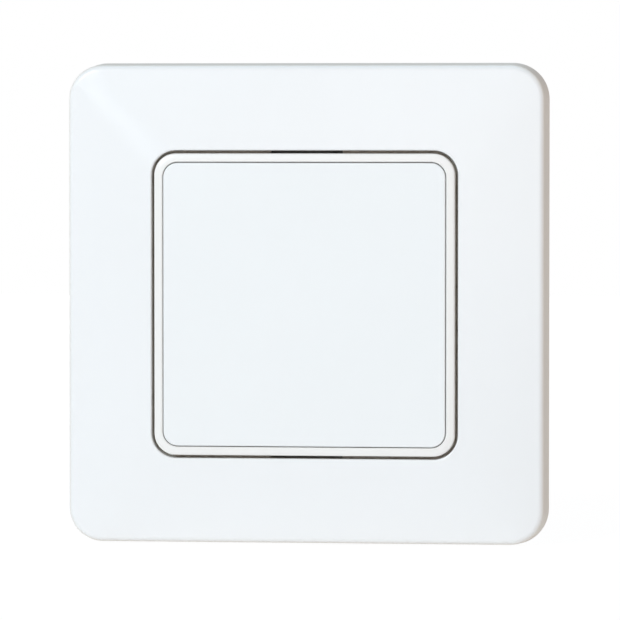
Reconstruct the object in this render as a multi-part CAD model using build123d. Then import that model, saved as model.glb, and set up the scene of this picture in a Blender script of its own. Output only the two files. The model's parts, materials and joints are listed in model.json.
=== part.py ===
from build123d import *

import os
from math import cos, hypot, radians, sqrt, tan

# Touch dimmer switch for a 60 mm flush box: cover frame, push plate, dimmer insert and claws.
# Every piece is drawn lying on its back: x to the right, y up the wall and z out of the wall,
# with the wall's surface at z = 0. The last step stands the pieces up, so that the face looks
# along -Y and +Z is up. All sizes are in millimetres, all angles in degrees.

# Small lengths that every piece uses
SEAT_GAP = 0.1  # between pieces that rest on each other or clip together
SLIDE_GAP = 0.1  # radial, round a stem that slides
PASS_GAP = 0.3  # round what passes freely through a slot or hole
PAST = 1.0  # how far a cutting tool runs past a face

# Steel mounting plate, its rear face on the wall
PLATE_THICK = 1.2
PLATE_CORNER = 4.0
PLATE_MARGIN = 1.5  # free space between the plate's edge and the frame's side walls
BOX_SCREW_SPACING = 60.0  # between the two holes for the flush box's screws
BOX_SCREW_HOLE = 4.2

# Cover frame
FRAME_SIZE = 80.0  # across the rim that lies on the wall
FRAME_CORNER = 6.0  # corner radius of that rim
FRAME_DRAFT = 3.5  # lean of the side walls
FRAME_WALL = 1.8
FRAME_EDGE = 1.1  # rounding between a side wall and the face
FACE_FALL = 1.4  # from the opening's edge down to the side walls
FACE_CROWN = 0.18  # bulge of the face half way across
HIP_WIDE = 1.6  # flat band along the hips, where two sides of the face meet
LIP_ROUND = 0.3
WELL_WALL = 1.5  # wall round the opening
LEDGE_THICK = 1.2  # inner ledge that the surround presses on
LEDGE_LAP = 1.9  # ledge under the surround's rim
LEDGE_ROOM = 2.4  # from the mounting plate up to the ledge
LEDGE_NOTCH = 12.0  # width of the notches half way along the upper and lower ledge
RIB_THICK = 1.2
RIB_SPACING = 32.0
FRAME_GAP = 0.5  # shadow gap between frame and surround
FRAME_GAP_CORNER = 0.5  # the opening's corner radius above the surround's

# Ring round the push plate
SURROUND_SIZE = 50.0
SURROUND_CORNER = 3.6
SURROUND_RIM = 1.4
SURROUND_RISE = 4.0
SURROUND_PROUD = 0.4  # rim above the frame's opening
SURROUND_SLOPE = 0.9  # outer part of the rim, which falls away
SURROUND_FALL = 0.2  # fall of that part
SURROUND_CROWN = 2.5  # radius between the level and the falling part
SURROUND_ROUND = 0.3  # rounded outer edge of the rim
SURROUND_INNER_BEVEL = 0.15
INNER_BEVEL_LEAN = 45.0  # lean of that bevel, in degrees
FLOOR_THICK = 1.2
FLOOR_WINDOW_WIDE = 6.0
FLOOR_WINDOW_TALL = 14.0
FLOOR_WINDOW_X = 13.0
FLOOR_WINDOW_CORNER = 1.5
COLLAR_WALL = 1.2  # collar under the floor that centres the frame
COLLAR_GAP = 0.2
CLIP_THICK = 1.2
CLIP_WIDE = 5.0
CLIP_Y = 8.0
CLIP_BARB = 0.8
CLIP_BARB_TALL = 1.1
CLIP_INSET = 0.6  # from the collar's inner face to the clips

# Push plate
TOUCH_GAP = 0.14  # seam between the plate and the surround
TOUCH_CORNER = 2.4
TOUCH_THICK = 1.3
TOUCH_SKIRT = 0.7
TOUCH_WALL = 1.2
TOUCH_ROUND = 0.25
TOUCH_TRAVEL = 0.8
TOUCH_RIB = 1.0
HOOK_WIDE = 4.0
HOOK_THICK = 1.3
HOOK_X = 10.0
HOOK_BARB = 0.9
HOOK_BARB_TALL = 0.8
HOOK_TIP = 0.3
HOOK_INSET = 1.0  # from the collar's inner face to the hook's barb

# Plunger, return spring and key switch
STEM_RADIUS = 3.0
PIN_RADIUS = 3.4
SOCKET_WALL = 1.6
FLANGE_RADIUS = 4.9
FLANGE_THICK = 1.0
FLANGE_ROOM = 1.6  # round the flange, in the surround's floor
SPRING_WIRE = 0.5  # square wire
SPRING_RADIUS = 4.3  # to the middle of the wire
SPRING_TURNS = 3.0
POCKET_RADIUS = 5.2
POCKET_FLOOR = 1.4
KEY_SIZE = 6.0
KEY_HEIGHT = 3.5
KEY_ROUND = 0.4
KEY_FLOOR = 1.4
CAP_RADIUS = 1.75
CAP_SPARE = 0.5  # of the cap above the switch's body when pressed

# Insulating housing in the flush box
HOUSING_RADIUS = 26.0
FOOT_CUT = 3.0  # cut off the round housing for the flat under the terminals
HOUSING_DEPTH = 24.0
HOUSING_WALL = 1.6
HOUSING_BEVEL = 1.2
COVER_THICK = 2.0
BOSS_STRIP = 2.1  # plate left between its window and the clip slots
BOSS_RISE = 1.2  # of the cover's boss above the mounting plate
BOSS_WALL = 1.6
BUSH_WALL = 1.6
BOARD_SEAT = 1.2  # width of the step that the circuit board rests on
BOARD_THICK = 1.6
BOARD_EDGE = 0.4
CASE_SCREW_RADIUS = 1.25
CASE_SCREW_LONG = 14.0
CASE_SCREW_HEAD = 2.3
CASE_SCREW_HEAD_TALL = 1.4
CASE_SCREW_BEVEL = 0.5
CASE_SCREW_INSET = 3.6  # from the housing's round outer wall
CASE_COLUMN = 2.9
SLOT_WIDE = 0.7
SLOT_DEEP = 0.6
VENT_WIDE = 1.6
VENT_LONG = 14.0
VENT_PITCH = 4.0
VENT_COUNT = 4
VENT_Y = 9.0

# Spreading claws and their screws
CLAW_THICK = 1.2
CLAW_WIDE = 9.0
CLAW_LONG = 16.0
CLAW_TONGUE = 5.0
CLAW_TONGUE_RISE = 0.7
CLAW_SHOULDER = 1.5
CLAW_TOOTH = 0.7
CLAW_TOOTH_TALL = 1.6
CLAW_NOTCH = 3.0  # between the teeth
CLAW_TAB_WIDE = 6.0
CLAW_TAB_AT = 13.0
CLAW_TAB_REACH = 2.0
CLAW_SWING = 14.0
CLAW_SCREW_X = 24.3
CLAW_SCREW_RADIUS = 1.5
CLAW_SCREW_LONG = 15.5
CLAW_BALL = 2.4  # spherical underside of the screw's head
CLAW_PIVOT_RISE = 0.8  # of the ball's centre above the mounting plate
CLAW_HEAD_RISE = 0.3
CLAW_ARM = 2.7  # from the screw's middle to the claw's inner face
CLAW_ROOM = 0.9  # between the claw screw and the housing

# Wire terminals
TERMINAL_COUNT = 3
TERMINAL_PITCH = 8.2
CLAMP_WIDE = 6.6
CLAMP_LONG = 7.0
CLAMP_TALL = 7.0
CLAMP_GAP = 0.2
WIRE_RADIUS = 1.8
WIRE_ENTRY_ROOM = 0.5  # of the housing's entry round the wire bore
WIRE_WALL = 1.2  # clamp wall that the wire is pressed against
CLAMP_SCREW_RADIUS = 1.5
CLAMP_HEAD_RADIUS = 2.3
CLAMP_HEAD_TALL = 1.6
CLAMP_BACK = 2.6  # from the clamp to the housing's rear wall
SCREW_ACCESS = 2.6
PARTITION_THICK = 1.0
TAIL_WIDE = 3.0
TAIL_THICK = 0.8
TAIL_PROUD = 0.6

# Dimmer circuit: choke, film capacitor, can and fuse behind the board, the rest in front of it
PART_GAP = 0.5  # between neighbours on the board
CHOKE_OUTER = 7.0
CHOKE_INNER = 3.4
CHOKE_TALL = 6.0
COIL_WIRE = 0.9
COIL_GAP = 0.12
COIL_TURNS = 15
COIL_SPREAD = 320.0
FILM_WIDE = 6.0
FILM_LONG = 12.0
FILM_TALL = 10.0
FILM_ROUND = 0.6
CAN_RADIUS = 3.15
CAN_TALL = 10.0
CAN_BEVEL = 0.4
CAN_GROOVE = 0.3
FUSE_LONG = 20.0
FUSE_RADIUS = 2.6
FUSE_GLASS = 2.3
FUSE_CAP = 5.0
CLIP_SHEET = 0.5
FUSE_CLIP_LONG = 4.0
TRIAC_WIDE = 10.0
TRIAC_LONG = 9.0
TRIAC_TALL = 3.2
TRIAC_TAB = 1.3
TRIAC_TAB_LONG = 15.0
TRIAC_HOLE = 1.8
LEAD_WIDE = 0.8
LEAD_THICK = 0.5
LEAD_LONG = 1.8
LEAD_PITCH = 2.5
SPREADER_THICK = 1.2
SPREADER_LONG = 10.0
SPREADER_FLANGE = 1.3
CHIP_WIDE = 4.9
CHIP_LONG = 3.9
CHIP_TALL = 1.5
CHIP_LEGS = 4
CHIP_LEG_PITCH = 1.27
CHIP_LEG_WIDE = 0.4
CHIP_LEG_LONG = 1.0
CHIP_LEG_THICK = 0.5
RESISTOR_RADIUS = 1.2
RESISTOR_LONG = 6.0
RESISTOR_LEAD = 0.35
RESISTOR_LEAD_REACH = 1.4

# Levels along z, from the wall towards the hand
LEDGE_LOW = PLATE_THICK + LEDGE_ROOM
LEDGE_TOP = LEDGE_LOW + LEDGE_THICK
FLOOR_TOP = LEDGE_TOP + FLOOR_THICK
SURROUND_TOP = LEDGE_TOP + SURROUND_RISE
FRAME_TOP = SURROUND_TOP - SURROUND_PROUD
FACE_EDGE_Z = FRAME_TOP - FACE_FALL
SKIRT_LOW = FLOOR_TOP + TOUCH_TRAVEL + SEAT_GAP
TOUCH_UNDER = SKIRT_LOW + TOUCH_SKIRT
TOUCH_TOP = TOUCH_UNDER + TOUCH_THICK
HOOK_LOW = LEDGE_TOP - SEAT_GAP - HOOK_BARB_TALL - HOOK_TIP
BOSS_TOP = PLATE_THICK + BOSS_RISE
POCKET_LOW = -COVER_THICK + POCKET_FLOOR
FLANGE_TOP = SKIRT_LOW - TOUCH_TRAVEL - SEAT_GAP - SLIDE_GAP
FLANGE_LOW = FLANGE_TOP - FLANGE_THICK
CAP_TOP = -COVER_THICK - SEAT_GAP - PASS_GAP
KEY_TOP = CAP_TOP - TOUCH_TRAVEL - CAP_SPARE
BOARD_TOP = KEY_TOP - KEY_HEIGHT
BOARD_LOW = BOARD_TOP - BOARD_THICK
BACK_INNER = -HOUSING_DEPTH + HOUSING_WALL
CLAMP_LOW = BACK_INNER + CLAMP_BACK
CLAMP_TOP = CLAMP_LOW + CLAMP_TALL
WIRE_Z = CLAMP_TOP - WIRE_WALL - WIRE_RADIUS
PIVOT_Z = PLATE_THICK + CLAW_PIVOT_RISE

# Sizes across, worked out from the pieces that fit each other
OPENING = SURROUND_SIZE + 2 * FRAME_GAP
OPENING_CORNER = SURROUND_CORNER + FRAME_GAP_CORNER
WELL_SIZE = OPENING + 2 * WELL_WALL
WELL_CORNER = OPENING_CORNER + WELL_WALL
LEDGE_WINDOW = SURROUND_SIZE - 2 * LEDGE_LAP
LEDGE_CORNER = SURROUND_CORNER - LEDGE_LAP
SURROUND_WINDOW = SURROUND_SIZE - 2 * SURROUND_RIM
SURROUND_WINDOW_CORNER = TOUCH_CORNER + TOUCH_GAP
COLLAR_SIZE = LEDGE_WINDOW - 2 * COLLAR_GAP
COLLAR_CORNER = LEDGE_CORNER - COLLAR_GAP
COLLAR_INNER = COLLAR_SIZE - 2 * COLLAR_WALL
CLIP_X = COLLAR_INNER / 2 - CLIP_INSET - CLIP_THICK
TOUCH_SIZE = SURROUND_WINDOW - 2 * TOUCH_GAP
HOOK_Y = COLLAR_INNER / 2 - HOOK_INSET - HOOK_BARB - HOOK_THICK
PLATE_SIZE = FRAME_SIZE - 2 * (FRAME_WALL + PLATE_MARGIN)
HOUSING_FLAT = CLAW_SCREW_X - CLAW_SCREW_RADIUS - CLAW_ROOM
CLAW_INNER = CLAW_SCREW_X + CLAW_ARM
BOSS_RADIUS = hypot(CLIP_X - CLIP_BARB - PASS_GAP, CLIP_Y - CLIP_WIDE / 2) - BOSS_STRIP
TERMINAL_XS = [TERMINAL_PITCH * (i - (TERMINAL_COUNT - 1) / 2) for i in range(TERMINAL_COUNT)]
HOUSING_FOOT = HOUSING_RADIUS - FOOT_CUT
INNER_RADIUS = HOUSING_RADIUS - HOUSING_WALL - BOARD_SEAT
INNER_FOOT = HOUSING_FOOT - HOUSING_WALL - BOARD_SEAT
CLAMP_REACH = TERMINAL_XS[-1] + CLAMP_WIDE / 2
CLAMP_ROOM = min(INNER_FOOT, sqrt(INNER_RADIUS**2 - CLAMP_REACH**2))
CLAMP_Y = -CLAMP_ROOM + CLAMP_GAP + CLAMP_LONG / 2
CASE_SCREW_X = CLAMP_REACH + PASS_GAP + CASE_COLUMN
CASE_SCREW_Y = sqrt((HOUSING_RADIUS - CASE_SCREW_INSET) ** 2 - CASE_SCREW_X**2)
CASE_SCREWS = [(-CASE_SCREW_X, CASE_SCREW_Y), (CASE_SCREW_X, -CASE_SCREW_Y)]

# Places behind the board, from the terminals upwards
FUSE_CLIP_HALF = FUSE_RADIUS + SEAT_GAP + CLIP_SHEET
FUSE_Y = CLAMP_Y + CLAMP_LONG / 2 + PART_GAP + FUSE_CLIP_HALF
ROW_LOW = FUSE_Y + FUSE_CLIP_HALF + PART_GAP
CHOKE_REACH = CHOKE_OUTER + COIL_GAP + COIL_WIRE
CHOKE_Y = ROW_LOW + CHOKE_REACH
FILM_X = -CHOKE_REACH - PART_GAP - FILM_WIDE / 2
FILM_Y = ROW_LOW + FILM_LONG / 2
CAN_X = CHOKE_REACH + PART_GAP + CAN_RADIUS
CAN_Y = ROW_LOW + CAN_RADIUS

# Places in front of the board, from the cover's skirt inwards
SKIRT_INSET = HOUSING_WALL + COLLAR_GAP
SKIRT_INNER = SKIRT_INSET + COLLAR_WALL
TRIAC_X = HOUSING_FLAT - SKIRT_INNER - PART_GAP - TRIAC_WIDE / 2
TRIAC_Y = (TRIAC_LONG + LEAD_LONG - TRIAC_TAB_LONG) / 2
TAB_Y = TRIAC_Y + (TRIAC_TAB_LONG - TRIAC_LONG) / 2
TAB_TOP = BOARD_TOP + SEAT_GAP + TRIAC_TALL + TRIAC_TAB
SPREADER_LEFT = TRIAC_X - TRIAC_WIDE / 2
SPREADER_RIGHT = sqrt((BOSS_RADIUS - BOSS_WALL) ** 2 - (SPREADER_LONG / 2) ** 2) - PART_GAP
CHIP_X = -TRIAC_X
RESISTOR_Y = CHIP_LONG / 2 + CHIP_LEG_LONG + PART_GAP + RESISTOR_RADIUS


def square(size, corner, z=0):
    """A flat square with round corners at height z."""
    return Pos(0, 0, z) * RectangleRounded(size, size, corner)


def prism(size, corner, low, high):
    """An upright square bar with round corners."""
    return extrude(square(size, corner, low), amount=high - low)


def block(x, y, wide, tall, low, high):
    """A box centred on x and y, between two heights."""
    return Pos(x, y, (low + high) / 2) * Box(wide, tall, high - low)


def rod(x, y, radius, low, high):
    """An upright cylinder between two heights."""
    return Pos(x, y, (low + high) / 2) * Cylinder(radius, high - low)


def edges_at(piece, z, rise=0):
    """The edges of a piece at height z, or up to a small rise above it."""
    tiny = 0.001
    return piece.edges().filter_by_position(Axis.Z, z - tiny, z + rise + tiny)


def both_sides(piece):
    """A piece and its mirror image to the left."""
    return piece + mirror(piece, about=Plane.YZ)


def four_ways(piece):
    """A piece and its mirror images in all four quarters."""
    pair = both_sides(piece)
    return pair + mirror(pair, about=Plane.XZ)


def screw_slot(x, y, radius, top, deep):
    """The cut for a screwdriver across a screw's head; deep is negative on a head facing the wall."""
    low, high = sorted((top, top - deep))
    return block(x, y, 2 * radius + PAST, SLOT_WIDE, low, high)


def housing_outline(inset, z):
    """The housing's outline: a circle with flats for the two claws and for the terminals."""
    radius = HOUSING_RADIUS - inset
    foot = HOUSING_FOOT - inset
    flats = Pos(0, (radius - foot) / 2) * Rectangle(2 * (HOUSING_FLAT - inset), radius + foot)
    return Pos(0, 0, z) * (Circle(radius) & flats)


def housing_slab(inset, low, high):
    """A slab of the housing's outline between two heights."""
    return extrude(housing_outline(inset, low), amount=high - low)


def case_screw_rods(radius, low, high):
    """One upright cylinder at each housing screw."""
    return Part() + [rod(x, y, radius, low, high) for x, y in CASE_SCREWS]


def arched_bar(crest):
    """A long bar along y whose top is flat in the middle and falls along an arc on both sides."""
    inner, middle, outer = crest
    outline = [
        Line((0, 0), (outer[0], 0)),
        Line((outer[0], 0), outer),
        ThreePointArc(outer, middle, inner),
        Line(inner, (0, inner[1])),
        Line((0, inner[1]), (0, 0)),
    ]
    half = extrude(Plane.XZ * make_face(outline), amount=FRAME_SIZE, both=True)
    return both_sides(half)


def pillow():
    """Four crossing arched bars: the frame's four bulging sides and the flat bands along its hips."""
    edge = FRAME_SIZE / 2 - FACE_EDGE_Z * tan(radians(FRAME_DRAFT))
    middle = (OPENING / 2 + edge) / 2
    middle_z = FACE_EDGE_Z + FACE_FALL / 2 + FACE_CROWN
    side = ThreePointArc((OPENING / 2, FRAME_TOP), (middle, middle_z), (edge, FACE_EDGE_Z))
    crest = []
    hip_crest = []
    for x in (OPENING / 2 - OPENING_CORNER, middle, FRAME_SIZE / 2 + PAST):
        z = side.arc_center.Y + sqrt(side.radius**2 - (x - side.arc_center.X) ** 2)
        crest.append((x, z))
        hip_crest.append((x * sqrt(2) - HIP_WIDE / 2, z))
    bar = arched_bar(crest)
    hip_bar = Rot(0, 0, 45) * arched_bar(hip_crest)
    return bar & Rot(0, 0, 90) * bar & hip_bar & Rot(0, 0, 90) * hip_bar


def drafted(size, corner):
    """A square bar with round corners whose sides lean in by the frame's draft."""
    return extrude(square(size, corner), amount=FRAME_TOP + PAST, taper=FRAME_DRAFT)


def cover_frame():
    """Pillowed square frame with drafted sides, a deep opening and a notched inner ledge."""
    top = pillow()
    near = FACE_FALL / 4
    frame = top & drafted(FRAME_SIZE, FRAME_CORNER)
    frame = fillet(edges_at(frame, FACE_EDGE_Z, near), FRAME_EDGE)
    frame -= prism(OPENING, OPENING_CORNER, LEDGE_TOP, FRAME_TOP + PAST)
    frame = fillet(edges_at(frame, FRAME_TOP, near), LIP_ROUND)
    hollow = Pos(0, 0, -FRAME_WALL) * top & drafted(FRAME_SIZE - 2 * FRAME_WALL, FRAME_CORNER - FRAME_WALL)
    hollow -= prism(WELL_SIZE, WELL_CORNER, LEDGE_LOW, FRAME_TOP)
    frame -= hollow
    frame -= prism(LEDGE_WINDOW, LEDGE_CORNER, -PAST, FRAME_TOP)
    frame -= block(0, 0, LEDGE_NOTCH, OPENING, LEDGE_LOW - PAST, FRAME_TOP)
    rib_low = PLATE_THICK + PASS_GAP
    rib_run = (FRAME_SIZE - WELL_SIZE) / 2
    rib_y = (FRAME_SIZE + WELL_SIZE) / 4
    rib = block(RIB_SPACING / 2, rib_y, RIB_THICK, rib_run, rib_low, FRAME_TOP)
    ribs = four_ways(rib) + four_ways(Rot(0, 0, -90) * rib)
    return frame + (ribs & hollow)


def button_surround():
    """Crowned rim with a guide floor, a centring collar and four clips for the mounting plate."""
    ring = prism(SURROUND_SIZE, SURROUND_CORNER, LEDGE_TOP, SURROUND_TOP)
    level = ring.faces().sort_by(Axis.Z)[-1]
    ring = chamfer(edges_at(ring, SURROUND_TOP), SURROUND_SLOPE, SURROUND_FALL, reference=level)
    ring = fillet(edges_at(ring, SURROUND_TOP - SURROUND_FALL), SURROUND_ROUND)
    ring = fillet(edges_at(ring, SURROUND_TOP), SURROUND_CROWN)
    ring -= prism(SURROUND_WINDOW, SURROUND_WINDOW_CORNER, FLOOR_TOP, SURROUND_TOP + PAST)
    mouth = Pos(0, 0, SURROUND_TOP - SURROUND_INNER_BEVEL) * RectangleRounded(
        SURROUND_WINDOW, SURROUND_WINDOW, SURROUND_WINDOW_CORNER
    )
    ring -= extrude(mouth, amount=2 * SURROUND_INNER_BEVEL, taper=-INNER_BEVEL_LEAN)
    collar_low = LEDGE_LOW + SEAT_GAP
    ring += prism(COLLAR_SIZE, COLLAR_CORNER, collar_low, LEDGE_TOP)
    ring -= prism(COLLAR_INNER, COLLAR_CORNER, collar_low - PAST, LEDGE_TOP)
    ring -= rod(0, 0, FLANGE_RADIUS + FLANGE_ROOM, LEDGE_LOW, SURROUND_TOP)
    window = Pos(FLOOR_WINDOW_X, 0, LEDGE_LOW) * RectangleRounded(
        FLOOR_WINDOW_WIDE, FLOOR_WINDOW_TALL, FLOOR_WINDOW_CORNER
    )
    ring -= both_sides(extrude(window, amount=SURROUND_RISE))
    hook_slot = block(
        HOOK_X,
        HOOK_Y + HOOK_THICK / 2,
        HOOK_WIDE + 2 * PASS_GAP,
        HOOK_THICK + 2 * PASS_GAP,
        LEDGE_LOW,
        SURROUND_TOP,
    )
    ring -= four_ways(hook_slot)
    barb_top = -SEAT_GAP
    barb_low = barb_top - CLIP_BARB_TALL
    leg = Polyline(
        (CLIP_X, LEDGE_TOP),
        (CLIP_X, barb_top),
        (CLIP_X - CLIP_BARB, barb_top),
        (CLIP_X, barb_low),
        (CLIP_X + CLIP_THICK, barb_low),
        (CLIP_X + CLIP_THICK, LEDGE_TOP),
        close=True,
    )
    clip = extrude(Plane.XZ.offset(-CLIP_Y) * make_face(leg), amount=CLIP_WIDE / 2, both=True)
    return ring + four_ways(clip)


def touch_plate():
    """Flat square push plate with a skirt, stiffening ribs, a plunger socket and four hooks."""
    plate = prism(TOUCH_SIZE, TOUCH_CORNER, SKIRT_LOW, TOUCH_TOP)
    plate = fillet(edges_at(plate, TOUCH_TOP), TOUCH_ROUND)
    inner = TOUCH_SIZE - 2 * TOUCH_WALL
    plate -= prism(inner, TOUCH_CORNER - TOUCH_WALL, SKIRT_LOW - PAST, TOUCH_UNDER)
    plate += block(0, 0, inner, TOUCH_RIB, SKIRT_LOW, TOUCH_UNDER)
    plate += block(0, 0, TOUCH_RIB, inner, SKIRT_LOW, TOUCH_UNDER)
    plate += rod(0, 0, PIN_RADIUS + SOCKET_WALL, FLANGE_TOP, TOUCH_UNDER)
    plate -= rod(0, 0, PIN_RADIUS + SLIDE_GAP, FLANGE_TOP - PAST, TOUCH_UNDER)
    barb_top = LEDGE_TOP - SEAT_GAP
    barb_low = barb_top - HOOK_BARB_TALL
    outer = HOOK_Y + HOOK_THICK
    leg = Polyline(
        (HOOK_Y, TOUCH_UNDER),
        (HOOK_Y, HOOK_LOW),
        (outer, HOOK_LOW),
        (outer + HOOK_BARB, barb_low),
        (outer + HOOK_BARB, barb_top),
        (outer, barb_top),
        (outer, TOUCH_UNDER),
        close=True,
    )
    hook = extrude(Plane.YZ.offset(HOOK_X) * make_face(leg), amount=HOOK_WIDE / 2, both=True)
    return plate + four_ways(hook)


def plunger():
    """Stem with a flange for the spring and a pin for the push plate's socket."""
    piece = rod(0, 0, STEM_RADIUS, CAP_TOP, FLANGE_LOW)
    piece += rod(0, 0, FLANGE_RADIUS, FLANGE_LOW, FLANGE_TOP)
    return piece + rod(0, 0, PIN_RADIUS, FLANGE_TOP, TOUCH_UNDER - SEAT_GAP)


def return_spring():
    """Coil spring between the cover's pocket and the plunger's flange."""
    low = POCKET_LOW + SPRING_WIRE / 2 + SEAT_GAP
    high = FLANGE_LOW - SPRING_WIRE / 2 - SEAT_GAP
    coil = Helix((high - low) / SPRING_TURNS, high - low, SPRING_RADIUS, center=(0, 0, low))
    section = Plane(origin=coil @ 0, x_dir=(1, 0, 0), z_dir=coil % 0) * Rectangle(SPRING_WIRE, SPRING_WIRE)
    return sweep(section, path=coil, is_frenet=True)


def key_switch_body():
    """Low square body of the momentary switch."""
    body = block(0, 0, KEY_SIZE, KEY_SIZE, BOARD_TOP, KEY_TOP)
    body = chamfer(body.edges().filter_by(Axis.Z), KEY_ROUND)
    return body - rod(0, 0, CAP_RADIUS + SLIDE_GAP, BOARD_TOP + KEY_FLOOR, KEY_TOP + PAST)


def key_switch_cap():
    """Cap of the momentary switch, under the plunger."""
    low = BOARD_TOP + KEY_FLOOR + TOUCH_TRAVEL + SEAT_GAP
    return rod(0, 0, CAP_RADIUS, low, CAP_TOP)


def mounting_plate():
    """Steel plate with the housing's window, slots for clips and claws, and holes for screws."""
    plate = prism(PLATE_SIZE, PLATE_CORNER, 0, PLATE_THICK)
    plate -= rod(0, 0, BOSS_RADIUS + PASS_GAP, -PAST, PLATE_THICK + PAST)
    clip_slot = block(
        CLIP_X + CLIP_THICK / 2,
        CLIP_Y,
        CLIP_THICK + 2 * COLLAR_GAP,
        CLIP_WIDE + 2 * PASS_GAP,
        -PAST,
        PLATE_THICK + PAST,
    )
    plate -= four_ways(clip_slot)
    swing = radians(CLAW_SWING)
    claw_reach = CLAW_ARM + CLAW_THICK + PIVOT_Z * tan(swing)
    slot_left = CLAW_INNER - PASS_GAP
    slot_right = CLAW_SCREW_X + claw_reach / cos(swing) + PASS_GAP
    claw_slot = block(
        (slot_left + slot_right) / 2,
        0,
        slot_right - slot_left,
        CLAW_TONGUE + 2 * PASS_GAP,
        -PAST,
        PLATE_THICK + PAST,
    )
    plate -= both_sides(claw_slot)
    seat_front = sqrt(CLAW_BALL**2 - CLAW_PIVOT_RISE**2) + PASS_GAP
    seat_rear = CLAW_SCREW_RADIUS / cos(swing) + PIVOT_Z * tan(swing) + PASS_GAP
    seat = Pos(CLAW_SCREW_X, 0, PLATE_THICK / 2) * Cone(seat_rear, seat_front, PLATE_THICK)
    plate -= both_sides(seat)
    for y in (-BOX_SCREW_SPACING / 2, BOX_SCREW_SPACING / 2):
        plate -= rod(0, y, BOX_SCREW_HOLE / 2, -PAST, PLATE_THICK + PAST)
    return plate - case_screw_rods(CASE_SCREW_RADIUS + PASS_GAP, -PAST, PLATE_THICK + PAST)


def claw():
    """Right-hand claw: a bent steel strip with teeth, a tongue in the plate and a threaded tab."""
    inner = CLAW_INNER
    outer = inner + CLAW_THICK
    top = PLATE_THICK + CLAW_TONGUE_RISE
    low = PLATE_THICK - CLAW_LONG
    side = Polyline(
        (inner, top),
        (inner, low),
        (outer + CLAW_TOOTH, low),
        (outer, low + CLAW_TOOTH_TALL),
        (outer, top),
        close=True,
    )
    strip = extrude(Plane.XZ * make_face(side), amount=CLAW_WIDE / 2, both=True)
    shoulder = -CLAW_SHOULDER
    cheek = (CLAW_WIDE - CLAW_TONGUE) / 2
    for y in (-(CLAW_TONGUE + cheek) / 2, (CLAW_TONGUE + cheek) / 2):
        strip -= block(inner, y, 2 * CLAW_THICK + PAST, cheek, shoulder, top + PAST)
    notch = Polyline((-CLAW_NOTCH / 2, low), (0, low + CLAW_TOOTH_TALL), (CLAW_NOTCH / 2, low), close=True)
    strip -= extrude(Plane.YZ.offset(inner) * make_face(notch), amount=CLAW_THICK + CLAW_TOOTH + PAST)
    tab_top = PLATE_THICK - CLAW_TAB_AT
    tab_left = CLAW_SCREW_X - CLAW_TAB_REACH
    tab = block(
        (tab_left + inner) / 2,
        0,
        inner - tab_left,
        CLAW_TAB_WIDE,
        tab_top - CLAW_THICK,
        tab_top,
    )
    hole = rod(CLAW_SCREW_X, 0, CLAW_SCREW_RADIUS + SEAT_GAP / 2, tab_top - CLAW_THICK - PAST, tab_top + PAST)
    return strip + (tab - hole)


def claw_screw():
    """Right-hand claw screw: ball-bottomed slotted head and a plain shank."""
    head = Pos(CLAW_SCREW_X, 0, PIVOT_Z) * Sphere(CLAW_BALL)
    top = PIVOT_Z + CLAW_HEAD_RISE
    head -= block(CLAW_SCREW_X, 0, 2 * CLAW_BALL + PAST, 2 * CLAW_BALL + PAST, top, top + CLAW_BALL)
    neck = PIVOT_Z - sqrt(CLAW_BALL**2 - CLAW_SCREW_RADIUS**2)
    head -= block(CLAW_SCREW_X, 0, 2 * CLAW_BALL, 2 * CLAW_BALL, neck - CLAW_BALL, neck)
    head -= screw_slot(CLAW_SCREW_X, 0, CLAW_BALL, top, SLOT_DEEP)
    return head + rod(CLAW_SCREW_X, 0, CLAW_SCREW_RADIUS, PLATE_THICK - CLAW_SCREW_LONG, neck)


def housing_cover():
    """Front cover of the housing: a boss through the plate, a bush with a spring pocket and a skirt."""
    cover = housing_slab(0, -COVER_THICK, 0)
    cover += rod(0, 0, BOSS_RADIUS, -COVER_THICK, BOSS_TOP)
    cover -= rod(0, 0, BOSS_RADIUS - BOSS_WALL, -COVER_THICK - PAST, BOSS_TOP - BOSS_WALL)
    cover += rod(0, 0, POCKET_RADIUS + BUSH_WALL, -COVER_THICK, BOSS_TOP)
    cover -= rod(0, 0, POCKET_RADIUS, POCKET_LOW, BOSS_TOP + PAST)
    cover -= rod(0, 0, STEM_RADIUS + SLIDE_GAP, -COVER_THICK - PAST, BOSS_TOP)
    skirt_low = BOARD_TOP + SEAT_GAP
    skirt = housing_slab(SKIRT_INSET, skirt_low, -COVER_THICK)
    skirt -= housing_slab(SKIRT_INNER, skirt_low - PAST, 0)
    cover += skirt - case_screw_rods(CASE_COLUMN + PASS_GAP, skirt_low - PAST, 0)
    pocket_left = CLIP_X - CLIP_BARB - PASS_GAP
    pocket_right = CLIP_X + CLIP_THICK + PASS_GAP
    pocket = block(
        (pocket_left + pocket_right) / 2,
        CLIP_Y,
        pocket_right - pocket_left,
        CLIP_WIDE + 2 * PASS_GAP,
        -SEAT_GAP - CLIP_BARB_TALL - PASS_GAP,
        PAST,
    )
    cover -= four_ways(pocket)
    return cover - case_screw_rods(CASE_SCREW_RADIUS + PASS_GAP, -COVER_THICK - PAST, PAST)


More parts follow.
